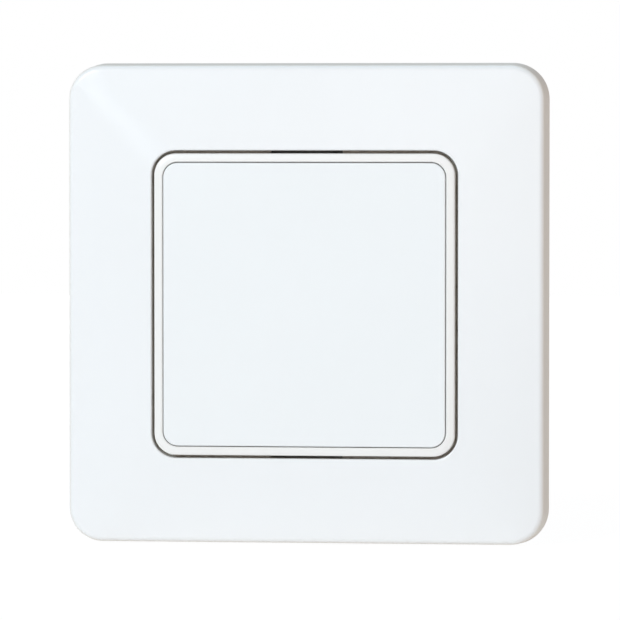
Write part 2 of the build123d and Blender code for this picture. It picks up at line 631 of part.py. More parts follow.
def housing_base():
    """Cup with a step for the board, screw columns, terminal chambers, wire entries and vents."""
    base = housing_slab(0, -HOUSING_DEPTH, -COVER_THICK)
    base = chamfer(edges_at(base, -HOUSING_DEPTH), HOUSING_BEVEL)
    base -= housing_slab(HOUSING_WALL, BOARD_LOW, PAST)
    base -= housing_slab(HOUSING_WALL + BOARD_SEAT, BACK_INNER, PAST)
    columns = case_screw_rods(CASE_COLUMN, -HOUSING_DEPTH + HOUSING_WALL / 2, -COVER_THICK)
    base += columns & housing_slab(0, -HOUSING_DEPTH, -COVER_THICK)
    base -= case_screw_rods(CASE_SCREW_RADIUS, -CASE_SCREW_LONG, PAST)
    chamber_tall = CLAMP_LONG + CLAMP_GAP + BOARD_SEAT
    chamber_y = -HOUSING_FOOT + HOUSING_WALL + chamber_tall / 2
    for i in range(TERMINAL_COUNT + 1):
        x = TERMINAL_PITCH * (i - TERMINAL_COUNT / 2)
        base += block(x, chamber_y, PARTITION_THICK, chamber_tall, BACK_INNER, CLAMP_TOP)
    entry_radius = WIRE_RADIUS + WIRE_ENTRY_ROOM
    entry_long = 2 * (CLAMP_Y - CLAMP_LONG / 2 + HOUSING_FOOT)
    for x in TERMINAL_XS:
        base -= Pos(x, -HOUSING_FOOT, WIRE_Z) * Rot(90, 0, 0) * Cylinder(entry_radius, entry_long)
        base -= rod(x, CLAMP_Y, SCREW_ACCESS, -HOUSING_DEPTH - PAST, BACK_INNER + PAST)
    for i in range(VENT_COUNT):
        y = VENT_Y + VENT_PITCH * (i - (VENT_COUNT - 1) / 2)
        vent = Pos(0, y, -HOUSING_DEPTH - PAST) * SlotOverall(VENT_LONG, VENT_WIDE)
        base -= extrude(vent, amount=HOUSING_WALL + 2 * PAST)
    return base


def housing_screws():
    """The two screws that hold plate, cover and cup together."""
    head_top = PLATE_THICK + CASE_SCREW_HEAD_TALL
    screws = []
    for x, y in CASE_SCREWS:
        head = rod(x, y, CASE_SCREW_HEAD, PLATE_THICK, head_top)
        head = chamfer(edges_at(head, head_top), CASE_SCREW_BEVEL)
        shank = rod(x, y, CASE_SCREW_RADIUS, -CASE_SCREW_LONG, PLATE_THICK)
        screws.append(head + shank - screw_slot(x, y, CASE_SCREW_HEAD, head_top, SLOT_DEEP))
    return Compound(children=screws)


def circuit_board():
    """Board on the cup's step, cut out for the screw columns and the terminals' tails."""
    board = housing_slab(HOUSING_WALL + BOARD_EDGE, BOARD_LOW, BOARD_TOP)
    board -= case_screw_rods(CASE_COLUMN + PASS_GAP, BOARD_LOW - PAST, BOARD_TOP + PAST)
    for x in TERMINAL_XS:
        board -= block(
            x,
            CLAMP_Y,
            TAIL_WIDE + 2 * SEAT_GAP,
            TAIL_THICK + 2 * SEAT_GAP,
            BOARD_LOW - PAST,
            BOARD_TOP + PAST,
        )
    return board


def terminal_clamps():
    """Brass clamps with a wire bore, a screw hole and a tail into the board."""
    clamps = []
    for x in TERMINAL_XS:
        clamp = block(x, CLAMP_Y, CLAMP_WIDE, CLAMP_LONG, CLAMP_LOW, CLAMP_TOP)
        clamp -= Pos(x, CLAMP_Y, WIRE_Z) * Rot(90, 0, 0) * Cylinder(WIRE_RADIUS, CLAMP_LONG + PAST)
        clamp -= rod(x, CLAMP_Y, CLAMP_SCREW_RADIUS + SEAT_GAP / 2, CLAMP_LOW - PAST, WIRE_Z)
        clamp += block(x, CLAMP_Y, TAIL_WIDE, TAIL_THICK, CLAMP_TOP, BOARD_TOP + TAIL_PROUD)
        clamps.append(clamp)
    return Compound(children=clamps)


def terminal_screws():
    """Slotted clamp screws, backed out to let the wires in."""
    head_high = CLAMP_LOW - SEAT_GAP
    head_low = head_high - CLAMP_HEAD_TALL
    tip = WIRE_Z - WIRE_RADIUS - PASS_GAP
    screws = []
    for x in TERMINAL_XS:
        screw = rod(x, CLAMP_Y, CLAMP_HEAD_RADIUS, head_low, head_high)
        screw += rod(x, CLAMP_Y, CLAMP_SCREW_RADIUS, head_high, tip)
        screws.append(screw - screw_slot(x, CLAMP_Y, CLAMP_HEAD_RADIUS, head_low, -SLOT_DEEP))
    return Compound(children=screws)


def choke_core():
    """Ring core of the interference choke."""
    high = BOARD_LOW - SEAT_GAP - COIL_WIRE - COIL_GAP
    core = rod(0, CHOKE_Y, CHOKE_OUTER, high - CHOKE_TALL, high)
    return core - rod(0, CHOKE_Y, CHOKE_INNER, high - CHOKE_TALL - PAST, high + PAST)


def choke_winding():
    """Turns of flat wire round the ring core."""
    across = CHOKE_OUTER - CHOKE_INNER + 2 * COIL_GAP
    tall = CHOKE_TALL + 2 * COIL_GAP
    high = BOARD_LOW - SEAT_GAP
    turn = Box(across + 2 * COIL_WIRE, COIL_WIRE, tall + 2 * COIL_WIRE) - Box(across, 2 * COIL_WIRE, tall)
    turns = []
    for i in range(COIL_TURNS):
        angle = COIL_SPREAD * i / COIL_TURNS
        place = Pos(0, CHOKE_Y, high - tall / 2 - COIL_WIRE) * Rot(0, 0, angle)
        turns.append(place * Pos((CHOKE_OUTER + CHOKE_INNER) / 2, 0, 0) * turn)
    return Compound(children=turns)


def suppression_capacitor():
    """Boxed film capacitor."""
    high = BOARD_LOW - SEAT_GAP
    body = block(FILM_X, FILM_Y, FILM_WIDE, FILM_LONG, high - FILM_TALL, high)
    return fillet(body.edges().filter_by(Axis.Z), FILM_ROUND)


def triac():
    """Flat power package with a drilled metal tab and three leads on the board."""
    low = BOARD_TOP + SEAT_GAP
    body_top = low + TRIAC_TALL
    package = block(TRIAC_X, TRIAC_Y, TRIAC_WIDE, TRIAC_LONG, low, body_top)
    package += block(TRIAC_X, TAB_Y, TRIAC_WIDE, TRIAC_TAB_LONG, body_top, TAB_TOP)
    hole_y = TAB_Y + TRIAC_TAB_LONG / 2 - TRIAC_WIDE / 4
    package -= rod(TRIAC_X, hole_y, TRIAC_HOLE, body_top - PAST, TAB_TOP + PAST)
    lead_y = TRIAC_Y - (TRIAC_LONG + LEAD_LONG) / 2
    for x in (-LEAD_PITCH, 0, LEAD_PITCH):
        package += block(TRIAC_X + x, lead_y, LEAD_WIDE, LEAD_LONG, low, low + LEAD_THICK)
    return package


def heat_spreader():
    """Bent aluminium plate on the triac's tab, up into the cover's boss."""
    low = TAB_TOP + SEAT_GAP
    high = low + SPREADER_THICK
    centre_x = (SPREADER_LEFT + SPREADER_RIGHT) / 2
    plate = block(centre_x, 0, SPREADER_RIGHT - SPREADER_LEFT, SPREADER_LONG, low, high)
    flange_x = SPREADER_RIGHT - SPREADER_THICK / 2
    return plate + block(flange_x, 0, SPREADER_THICK, SPREADER_LONG, high, high + SPREADER_FLANGE)


def smoothing_capacitor():
    """Round can capacitor with a crimp groove."""
    high = BOARD_LOW - SEAT_GAP
    low = high - CAN_TALL
    can = rod(CAN_X, CAN_Y, CAN_RADIUS, low, high)
    can = chamfer(edges_at(can, low), CAN_BEVEL)
    groove_z = high - CAN_RADIUS / 2
    ring = rod(CAN_X, CAN_Y, CAN_RADIUS + PAST, groove_z - CAN_GROOVE, groove_z + CAN_GROOVE)
    return can - (ring - rod(CAN_X, CAN_Y, CAN_RADIUS - CAN_GROOVE, low, high))


def controller_chip():
    """Small chip with two rows of legs."""
    low = BOARD_TOP + SEAT_GAP
    chip = block(CHIP_X, 0, CHIP_WIDE, CHIP_LONG, low, low + CHIP_TALL)
    for i in range(CHIP_LEGS):
        x = CHIP_X + CHIP_LEG_PITCH * (i - (CHIP_LEGS - 1) / 2)
        reach = CHIP_LONG + 2 * CHIP_LEG_LONG
        chip += block(x, 0, CHIP_LEG_WIDE, reach, low, low + CHIP_LEG_THICK)
    return chip


def resistors():
    """Two axial resistors with bent leads, on both sides of the chip."""
    foot = BOARD_TOP + SEAT_GAP
    axis_z = foot + RESISTOR_RADIUS
    thick = 2 * RESISTOR_LEAD
    reach = RESISTOR_LONG / 2 + RESISTOR_LEAD_REACH
    pieces = []
    for y in (-RESISTOR_Y, RESISTOR_Y):
        body = Pos(CHIP_X, y, axis_z) * Rot(0, 90, 0) * Cylinder(RESISTOR_RADIUS, RESISTOR_LONG)
        body += block(CHIP_X, y, 2 * reach, thick, axis_z - RESISTOR_LEAD, axis_z + RESISTOR_LEAD)
        for end in (-reach + RESISTOR_LEAD, reach - RESISTOR_LEAD):
            body += block(CHIP_X + end, y, thick, thick, foot, axis_z)
        pieces.append(body)
    return Compound(children=pieces)


def fuse_axis_z():
    """Height of the fuse's axis, over its clips."""
    return BOARD_LOW - SEAT_GAP - CLIP_SHEET - SEAT_GAP - FUSE_RADIUS


def fuse_link():
    """Glass fuse with metal end caps."""
    lying = Pos(0, FUSE_Y, fuse_axis_z()) * Rot(0, 90, 0)
    fuse = lying * Cylinder(FUSE_GLASS, FUSE_LONG)
    for cap_at in (-(FUSE_LONG - FUSE_CAP) / 2, (FUSE_LONG - FUSE_CAP) / 2):
        fuse += lying * Pos(0, 0, cap_at) * Cylinder(FUSE_RADIUS, FUSE_CAP)
    return fuse


def fuse_clips():
    """Spring clips under the fuse's end caps."""
    high = BOARD_LOW - SEAT_GAP
    low = fuse_axis_z()
    inner = FUSE_CLIP_HALF - CLIP_SHEET
    clips = []
    for x in (-(FUSE_LONG - FUSE_CAP) / 2, (FUSE_LONG - FUSE_CAP) / 2):
        clip = block(x, FUSE_Y, FUSE_CLIP_LONG, 2 * FUSE_CLIP_HALF, low, high)
        clip -= block(x, FUSE_Y, FUSE_CLIP_LONG + PAST, 2 * inner, low - PAST, high - CLIP_SHEET)
        clips.append(clip)
    return Compound(children=clips)


def stand_up(piece):
    """Turns a piece from lying on its back to standing on the wall."""
    return Rot(90, 0, 0) * piece


pieces = {
    "cover_frame": cover_frame(),
    "button_surround": button_surround(),
    "touch_plate": touch_plate(),
    "plunger": plunger(),
    "return_spring": return_spring(),
    "key_switch_body": key_switch_body(),
    "key_switch_cap": key_switch_cap(),
    "mounting_plate": mounting_plate(),
    "claw_right": claw(),
    "claw_left": mirror(claw(), about=Plane.YZ),
    "claw_screw_right": claw_screw(),
    "claw_screw_left": mirror(claw_screw(), about=Plane.YZ),
    "housing_cover": housing_cover(),
    "housing_base": housing_base(),
    "housing_screws": housing_screws(),
    "circuit_board": circuit_board(),
    "terminal_clamps": terminal_clamps(),
    "terminal_screws": terminal_screws(),
    "choke_core": choke_core(),
    "choke_winding": choke_winding(),
    "suppression_capacitor": suppression_capacitor(),
    "triac": triac(),
    "heat_spreader": heat_spreader(),
    "smoothing_capacitor": smoothing_capacitor(),
    "controller_chip": controller_chip(),
    "resistors": resistors(),
    "fuse_link": fuse_link(),
    "fuse_clips": fuse_clips(),
}

os.makedirs("parts", exist_ok=True)
for name, piece in pieces.items():
    export_step(stand_up(piece), f"parts/{name}.step")
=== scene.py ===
"""Touch dimmer switch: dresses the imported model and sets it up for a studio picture."""

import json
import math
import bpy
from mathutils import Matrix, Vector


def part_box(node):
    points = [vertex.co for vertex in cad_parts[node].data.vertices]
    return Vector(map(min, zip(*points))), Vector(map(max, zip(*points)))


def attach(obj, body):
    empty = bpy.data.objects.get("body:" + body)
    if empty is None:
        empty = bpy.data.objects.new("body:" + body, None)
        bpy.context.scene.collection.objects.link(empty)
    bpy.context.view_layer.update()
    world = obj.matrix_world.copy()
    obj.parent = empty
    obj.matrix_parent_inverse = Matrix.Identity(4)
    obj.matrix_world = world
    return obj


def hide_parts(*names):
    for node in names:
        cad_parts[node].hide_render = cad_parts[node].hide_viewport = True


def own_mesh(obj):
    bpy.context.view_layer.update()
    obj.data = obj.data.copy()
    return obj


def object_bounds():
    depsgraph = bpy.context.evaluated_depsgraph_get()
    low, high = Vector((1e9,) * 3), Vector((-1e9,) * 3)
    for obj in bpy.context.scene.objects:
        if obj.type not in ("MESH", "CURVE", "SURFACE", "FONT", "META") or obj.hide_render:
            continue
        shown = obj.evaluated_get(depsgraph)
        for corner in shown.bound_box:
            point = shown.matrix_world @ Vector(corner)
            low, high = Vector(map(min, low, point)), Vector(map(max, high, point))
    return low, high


bl_info = {
    "name": "Touch dimmer switch",
    "version": (1, 0, 0),
    "blender": (4, 5, 0),
    "location": "View3D > Sidebar > Dimmer",
    "description": "Dresses the flush-mounted touch dimmer and lights it for a picture",
    "category": "Object",
}

import bmesh
import bpy
from bpy.props import FloatProperty, FloatVectorProperty, PointerProperty
from mathutils import Quaternion, Vector

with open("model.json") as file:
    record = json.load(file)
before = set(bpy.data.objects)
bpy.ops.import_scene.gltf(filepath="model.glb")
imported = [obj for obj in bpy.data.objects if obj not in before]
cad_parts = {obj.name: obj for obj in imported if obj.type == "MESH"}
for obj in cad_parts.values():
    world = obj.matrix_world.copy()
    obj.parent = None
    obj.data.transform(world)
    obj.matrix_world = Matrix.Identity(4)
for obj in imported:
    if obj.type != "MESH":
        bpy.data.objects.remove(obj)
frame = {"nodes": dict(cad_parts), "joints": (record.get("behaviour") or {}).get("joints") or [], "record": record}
CAD_BOX = [list(corner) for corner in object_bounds()]
SLOTS = {part["node"]: part["material_slot"] for part in frame["record"]["subparts"]}
JOINTS = {joint["name"]: joint for joint in frame["joints"]}
FINISH = "_finish"  # ends the names of the finishes made here, because the frame brings its own

# Lengths
MM = 0.001
WELD = 0.002 * MM  # points nearer than this are one
STACK = 10 * MM  # spacing of the frame's squares while they are bridged

# Facets
CORNER_STEPS = 16
ROUND_STEPS = 8
FACE_STEPS = 12
BEVEL_STEPS = 2
TURNED_SIDES = 32
BALL_RINGS = 20
WIRE_SIDES = 10
WIRE_STEPS = 40
THREAD_SIDES = 3
THREAD_STEPS = 20
SPRING_TURNS = 3
TRIANGLE_HEIGHT = 1.5  # height of a triangle of radius 1

# Angles between faces
FRAME_SHARP = math.radians(25)
SCREW_SHARP = math.radians(35)
SHEET_SHARP = math.radians(40)
WIRE_SHARP = math.radians(50)
BEVEL_FROM = math.radians(35)
FLAT_WITHIN = math.radians(0.6)

# Sockets of a Mix node that mixes colours
MIX_FACTOR, MIX_FIRST, MIX_SECOND, MIX_RESULT = 0, 6, 7, 2

# Details of the finishes
WHITE = (1.0, 1.0, 1.0)
EVEN = (1.0, 1.0, 1.0)  # no stretch along any axis
GRIT_BROWN = (0.25, 0.22, 0.19)
GRIT_SPACING = 11 * MM
GRIT_PATCH = 4 * MM
GRIT_LEAST = 0.4
GRIT_COVER = 0.45
# painted shade: a cream tint that makes the sides darker and warmer, standing in for the dim warm light on them
PAINTED_SIDE_SHADE = (1.0, 0.96, 0.9)
MATTE_AND_SHADE_RISE = 0.8 * MM
FRAME_MATTE_AND_SHADE = 1.3 * MM  # the frame's and the ring's sides turn matt, and take painted warm shade, this far behind their front
RING_MATTE_AND_SHADE = 0.4 * MM
MATTE_ROUGH = 0.8
# painted shade: a grey front on the mounting plate, instead of bright zinc, darkens what the frame's notches show
NOTCH_SHADE_GREY = (0.42, 0.425, 0.42)
SHADED_FRONT_EDGE = 0.06 * MM
SHADED_FRONT_ROUGH = 0.3
CRYSTAL_COVER = 0.3
CRYSTAL_RELIEF = 0.2
WEAVE_RELIEF = 0.1

# Lamps: place, the way the face looks that a lamp lights, width and height in metres, tone and roll
FRONT, REAR, RIGHT, UP = (0.0, -1.0, 0.0), (0.0, 1.0, 0.0), (1.0, 0.0, 0.0), (0.0, 0.0, 1.0)
LAMPS = {
    "key": {"place": (-0.57, -1.15, 0.6), "facing": FRONT, "size": (0.5, 0.5), "tone": "cool"},
    "glint": {
        "place": (-0.281, -0.97, 0.127),
        "facing": FRONT,
        "size": (0.22, 0.035),
        "tone": "cool",
        "roll": math.radians(-45),
    },
    "fill": {"place": (0.35, -1.5, 0.05), "facing": FRONT, "size": (1.2, 1.2), "tone": "pale"},
    "side": {"place": (1.2, 0.25, 0.15), "facing": RIGHT, "size": (0.6, 0.6), "tone": "warm"},
    "top": {"place": (0.0, 0.15, 1.2), "facing": UP, "size": (0.6, 0.6), "tone": "blue"},
    "back": {"place": (-0.5, 1.3, 0.15), "facing": REAR, "size": (0.6, 0.6), "tone": "plain"},
}
SENSOR = 36.0  # width of the camera's sensor in millimetres


def length(name, about, size):
    """A length in metres that a user may change."""
    return FloatProperty(name=name, description=about, default=size, unit="LENGTH", precision=5)


def turn(name, about, degrees):
    """An angle that a user may change."""
    return FloatProperty(name=name, description=about, default=math.radians(degrees), subtype="ANGLE")


def share(name, about, value):
    """A plain number that a user may change."""
    return FloatProperty(name=name, description=about, default=value, min=0.0, soft_max=2.0)


def paint(name, about, colour):
    """A colour that a user may change."""
    return FloatVectorProperty(
        name=name, description=about, default=colour, size=3, min=0.0, max=1.0, subtype="COLOR"
    )


class DimmerSizes(bpy.types.PropertyGroup):
    """Sizes of the modelled pieces and of the detail in their surfaces."""

    spring_wire: length("Spring wire", "Diameter of the return spring's wire", 0.5 * MM)
    screw_radius: length("Claw screw", "Outer radius of the claw screws' thread", 1.5 * MM)
    thread_pitch: length("Thread pitch", "Rise of the claw screws' thread in one turn", 0.5 * MM)
    thread_depth: length("Thread depth", "Depth of the claw screws' thread", 0.28 * MM)
    neck: length("Neck", "Plain neck of the claw screws under the head", 1.6 * MM)
    run_out: length("Run-out", "Plain end of the claw screws", 0.4 * MM)
    tip: length("Tip", "Length of the claw screws' tapered tip", 0.3 * MM)
    tip_share: share("Tip width", "Width of the tip's end as a share of the core", 0.7)
    slot_wide: length("Slot", "Width of the claw screws' slot", 0.7 * MM)
    slot_deep: length("Slot depth", "Depth of the claw screws' slot", 0.6 * MM)
    moulded_edge: length("Moulded edge", "Rounding of the housing's edges", 0.15 * MM)
    stamped_edge: length("Stamped edge", "Rounding of the sheet metal's edges", 0.09 * MM)
    grain: length("Satin grain", "Size of the fine grain on the white mouldings", 0.16 * MM)
    spark: length("Spark grain", "Size of the spark-eroded grain on the housing", 0.35 * MM)
    spangle: length("Zinc spangle", "Size of the crystals in the plate's zinc", 1.4 * MM)
    claw_spangle: length("Claw spangle", "Size of the crystals in the claws' zinc", 0.98 * MM)
    track_spacing: length("Track spacing", "Distance between the circuit board's tracks", 2.4 * MM)
    track_half: length("Track width", "Half width of the circuit board's tracks", 0.22 * MM)


class DimmerFrameSizes(bpy.types.PropertyGroup):
    """Sizes of the cover frame's section."""

    corner: length("Corner", "Corner radius of the rim on the wall", 6.0 * MM)
    draft: turn("Draft", "Lean of the side walls", 3.5)
    wall: length("Wall", "Thickness of the shell", 1.8 * MM)
    edge_round: length("Edge rounding", "Rounding between a side wall and the face", 1.1 * MM)
    height: length("Height", "Height of the face at the opening", 8.4 * MM)
    fall: length("Fall", "Fall of the face from the opening to the side walls", 1.4 * MM)
    crown: length("Crown", "Bulge of the face half way across", 0.18 * MM)
    gap: length("Gap", "Shadow gap between the frame and the ring", 0.5 * MM)
    opening_corner: length("Opening corner", "Corner radius of the opening", 4.1 * MM)
    lip_round: length("Lip rounding", "Rounding of the opening's edge", 0.3 * MM)
    well_wall: length("Well wall", "Thickness of the wall round the opening", 1.5 * MM)
    ledge_high: length("Ledge", "Height of the ledge that the ring presses on", 4.8 * MM)
    ledge_thick: length("Ledge thickness", "Thickness of that ledge", 1.2 * MM)
    ledge_reach: length("Ledge reach", "Reach of the ledge into the opening", 2.4 * MM)
    ledge_corner: length("Ledge corner", "Corner radius of the window in the ledge", 1.7 * MM)
    notch: length("Notch", "Width of the notches in the upper and the lower ledge", 12.0 * MM)
    rib_thick: length("Rib", "Thickness of the ribs behind the face", 1.2 * MM)
    rib_spacing: length("Rib spacing", "Distance between the two ribs of a side", 32.0 * MM)
    rib_low: length("Rib foot", "Height of the ribs' feet above the wall", 1.5 * MM)


class DimmerColours(bpy.types.PropertyGroup):
    """Colours of the finishes."""

    frame_white: paint("Frame", "White of the cover frame", (0.90, 0.903, 0.90))
    ring_white: paint("Ring", "White of the ring round the push plate", (0.905, 0.888, 0.858))
    plate_white: paint("Push plate", "White of the push plate", (0.885, 0.895, 0.89))
    inner_white: paint("Inner mouldings", "White of the plunger and the key cap", (0.78, 0.78, 0.75))
    housing_grey: paint("Housing", "Grey of the housing's cup", (0.20, 0.205, 0.215))
    cover_grey: paint("Housing cover", "Grey of the housing's front cover", (0.36, 0.365, 0.375))
    zinc: paint("Zinc", "Colour of the zinc plating", (0.55, 0.56, 0.565))
    steel: paint("Bare steel", "Colour of the spring's wire", (0.52, 0.52, 0.53))
    brass: paint("Brass", "Colour of the terminals", (0.72, 0.53, 0.23))
    copper: paint("Copper", "Colour of the choke's winding", (0.66, 0.30, 0.13))
    aluminium: paint("Aluminium", "Colour of the heat spreader", (0.74, 0.75, 0.76))
    board: paint("Board", "Green of the circuit board", (0.035, 0.16, 0.07))
    ferrite: paint("Ferrite", "Colour of the choke's core", (0.035, 0.035, 0.038))
    film: paint("Film capacitor", "Yellow of the suppression capacitor", (0.56, 0.42, 0.045))
    epoxy: paint("Epoxy", "Black of the chip and the triac", (0.02, 0.02, 0.021))
    sleeve: paint("Sleeve", "Blue of the smoothing capacitor's sleeve", (0.014, 0.017, 0.05))
    resistor: paint("Resistors", "Colour of the resistors' coat", (0.48, 0.33, 0.17))
    glass: paint("Glass", "Colour of the fuse's tube", (0.92, 0.95, 0.95))


class DimmerStage(bpy.types.PropertyGroup):
    """Camera, floor and light."""

    azimuth: turn("Azimuth", "Camera to the right of the face", 6.745)
    elevation: turn("Elevation", "Camera above the middle", 2.037)
    distance: length("Distance", "Camera from the middle of the wall face", 0.859)
    drop: length("Aim below", "Point aimed at, below the middle", 1.165 * MM)
    lens: FloatProperty(name="Lens", description="Focal length in millimetres", default=298.83, min=1.0)
    ambient: share("Ambient", "Level of the light from all round", 0.372)
    key: share("Key", "Level of the large lamp at the upper left", 0.413)
    glint: share("Glint", "Level of the strip lamp that the upper left hip mirrors", 0.0095)
    fill: share("Fill", "Level of the lamp in front", 0.209)
    side: share("Side", "Level of the warm lamp at the right", 0.042)
    top: share("Top", "Level of the blue lamp above", 0.125)
    back: share("Back", "Level of the lamp behind", 0.35)
    soft: paint("Ambient tone", "Colour of the light from all round", (1.0, 0.9, 0.83))
    cool: paint("Key tone", "Colour of the key and the strip lamp", (0.778, 0.904, 1.0))
    pale: paint("Fill tone", "Colour of the lamp in front", (1.0, 0.885, 0.825))
    warm: paint("Side tone", "Colour of the lamp at the right", (1.0, 0.5, 0.2))
    blue: paint("Top tone", "Colour of the lamp above", (0.06, 0.58, 1.0))
    plain: paint("Back tone", "Colour of the lamp behind", WHITE)
    floor_size: length("Floor", "Width of the floor", 2.4)
    floor_pale: paint("Floor colour", "Colour of the floor", (0.92, 0.92, 0.92))
    floor_glow: share("Floor glow", "Strength of the floor's own white", 1.06)
    floor_white: share("Floor white", "Share of that white to the eye, the rest keeps the shadow", 0.9)
    bounce: share("Bounce", "Share of that white in the light that the floor sends up", 0.2)


class Value:
    """A shader socket that takes part in plain arithmetic."""

    def __init__(self, shading, socket):
        self.shading = shading
        self.socket = socket

    def operate(self, operation, first, second):
        """A Math node on two values."""
        return self.shading.add("ShaderNodeMath", {"operation": operation}, {0: first, 1: second})

    def __add__(self, other):
        return self.operate("ADD", self, other)

    def __sub__(self, other):
        return self.operate("SUBTRACT", self, other)

    def __rsub__(self, other):
        return self.operate("SUBTRACT", other, self)

    def __mul__(self, other):
        return self.operate("MULTIPLY", self, other)

    def __lt__(self, other):
        return self.operate("LESS_THAN", self, other)

    def __gt__(self, other):
        return self.operate("GREATER_THAN", self, other)

    __radd__ = __add__
    __rmul__ = __mul__


class Shading:
    """A node tree, with the nodes that feed its shader."""

    def __init__(self, tree):
        self.tree = tree
        tree.nodes.clear()

    def add(self, kind, settings=None, sockets=None, out=0):
        """Adds a node: its settings first, then the values or links of its sockets."""
        node = self.tree.nodes.new(kind)
        for key, value in (settings or {}).items():
            setattr(node, key, value)
        for key, value in (sockets or {}).items():
            if isinstance(value, Value):
                self.tree.links.new(value.socket, node.inputs[key])
            else:
                node.inputs[key].default_value = value
        return Value(self, node.outputs[out] if node.outputs else None)

    def place(self, stretch=EVEN):
        """The point on the piece, in metres, stretched along the axes."""
        point = self.add("ShaderNodeTexCoord", out="Object")
        if stretch == EVEN:
            return point
        return self.add("ShaderNodeMapping", None, {"Vector": point, "Scale": stretch})

    def depth(self):
        """How far back the point lies, in metres."""
        return self.add("ShaderNodeSeparateXYZ", None, {"Vector": self.place()}, "Y")

    def noise(self, size, detail=2.0, stretch=EVEN):
        """Cloudy noise from 0 to 1 with blots of a size in metres."""
        sockets = {"Vector": self.place(stretch), "Scale": 1.0 / size, "Detail": detail}
        return self.add("ShaderNodeTexNoise", None, sockets)

    def cells(self, size, settings=None, out="Distance"):
        """Cell pattern with cells of a size in metres."""
        sockets = {"Vector": self.place(), "Scale": 1.0 / size}
        return self.add("ShaderNodeTexVoronoi", settings, sockets, out)

    def blend(self, factor, first, second, how="MIX"):
        """One colour where the factor is 0, the other where it is 1."""
        first, second = (tone if isinstance(tone, Value) else (*tone, 1.0) for tone in (first, second))
        settings = {"data_type": "RGBA", "blend_type": how, "clamp_factor": True}
        sockets = {MIX_FACTOR: factor, MIX_FIRST: first, MIX_SECOND: second}
        return self.add("ShaderNodeMix", settings, sockets, MIX_RESULT)

    def mottle(self, mask, colour, dark, light):
        """A colour that goes from a darker to a lighter tone with a mask."""
        return self.blend(mask, shade(colour, dark), shade(colour, light))

    def ramp(self, value, low, high):
        """0 below one value and 1 above another, with a smooth rise between."""
        sockets = {"Value": value, "From Min": low, "From Max": high}
        return self.add("ShaderNodeMapRange", {"interpolation_type": "SMOOTHSTEP"}, sockets)

    def bump(self, height, depth):
        """A normal from a height of 0 to 1 that stands for a depth in metres."""
        return self.add("ShaderNodeBump", None, {"Strength": 1.0, "Distance": depth, "Height": height})


def shade(colour, level):
    """A colour made lighter or darker."""
    return tuple(min(1.0, part * level) for part in colour)


def swing(mask, width):
    """A swing about 0, of a full width, from a mask of 0 to 1."""
    return (mask - 0.5) * width


def finish(name, build, matte_and_shade=None, **constants):
    """Makes a material: a Principled shader with fixed values, what build feeds it, and matt parts with painted
    shade.
    """
    material = bpy.data.materials.new(name + FINISH)
    material.use_nodes = True
    nodes = Shading(material.node_tree)
    sockets = {key.replace("_", " "): value for key, value in constants.items()}
    sockets.update(build(nodes))
    shader = nodes.add("ShaderNodeBsdfPrincipled", None, sockets)
    if matte_and_shade:
        where, shaded_cream = matte_and_shade(nodes, sockets["Base Color"])
        # the matt sides take the cream tint, which is painted shade
        sockets.update({"Base Color": shaded_cream, "Roughness": MATTE_ROUGH, "Specular IOR Level": 0.0})
        matt_shaded = nodes.add("ShaderNodeBsdfPrincipled", None, sockets)
        shader = nodes.add("ShaderNodeMixShader", None, {0: where, 1: shader, 2: matt_shaded})
    nodes.add("ShaderNodeOutputMaterial", None, {"Surface": shader})


def moulding(name, colour, grain, depth, gloss, flow, specks=0.0, matte_from=None):
    """Moulded plastic: a fine grain, faint flow marks, a few specks and, from a depth on, matt sides in painted
    warm shade.
    """

    def matte_and_shade(nodes, base):
        # painted warm shade: the base colour multiplied by the cream tint on the sides
        shaded_cream = nodes.blend(1.0, base, PAINTED_SIDE_SHADE, "MULTIPLY")
        return nodes.ramp(nodes.depth(), matte_from, matte_from + MATTE_AND_SHADE_RISE), shaded_cream

    def build(nodes):
        fine = nodes.noise(grain, detail=1.0)
        marks = nodes.noise(flow, detail=3.0)
        base = nodes.mottle(marks, colour, dark=0.985, light=1.012)
        if specks:
            reach = specks * (GRIT_LEAST + nodes.noise(GRIT_PATCH, detail=0.0))
            grit = nodes.cells(GRIT_SPACING) * GRIT_SPACING < reach
            base = nodes.blend(grit * GRIT_COVER, base, GRIT_BROWN)
        rough = gloss + swing(marks, width=0.06) + swing(fine, width=0.05)
        return {"Base Color": base, "Roughness": rough, "Normal": nodes.bump(fine, depth)}

    finish(name, build, None if matte_from is None else matte_and_shade, IOR=1.49)


def plated(name, colour, spangle, gloss, drag, lacquer_to=None):
    """Plated sheet: crystals of slightly different tone, drag lines, rougher patches, and a grey front of painted
    shade.
    """

    def build(nodes):
        tone = nodes.add("ShaderNodeSeparateColor", None, {"Color": nodes.cells(spangle, out="Color")})
        cloud = nodes.noise(size=9 * MM, detail=4.0)
        lines = nodes.noise(size=0.25 * MM, stretch=drag)
        base = nodes.mottle(cloud, colour, dark=0.86, light=1.08)
        base = nodes.blend(tone * CRYSTAL_COVER, base, shade(colour, level=1.3))
        rough = gloss + swing(tone, width=0.08) + swing(cloud, width=0.14) + swing(lines, width=0.08)
        relief = nodes.bump(lines + tone * CRYSTAL_RELIEF, depth=0.004 * MM)
        if lacquer_to is None:
            return {"Base Color": base, "Roughness": rough, "Metallic": 1.0, "Normal": relief}
        # the grey front is painted shade behind the notches
        front = nodes.depth() < lacquer_to
        return {
            "Base Color": nodes.blend(front, base, NOTCH_SHADE_GREY),
            "Roughness": rough + front * SHADED_FRONT_ROUGH,
            "Metallic": 1.0 - front,
            "Normal": relief,
        }

    finish(name, build)


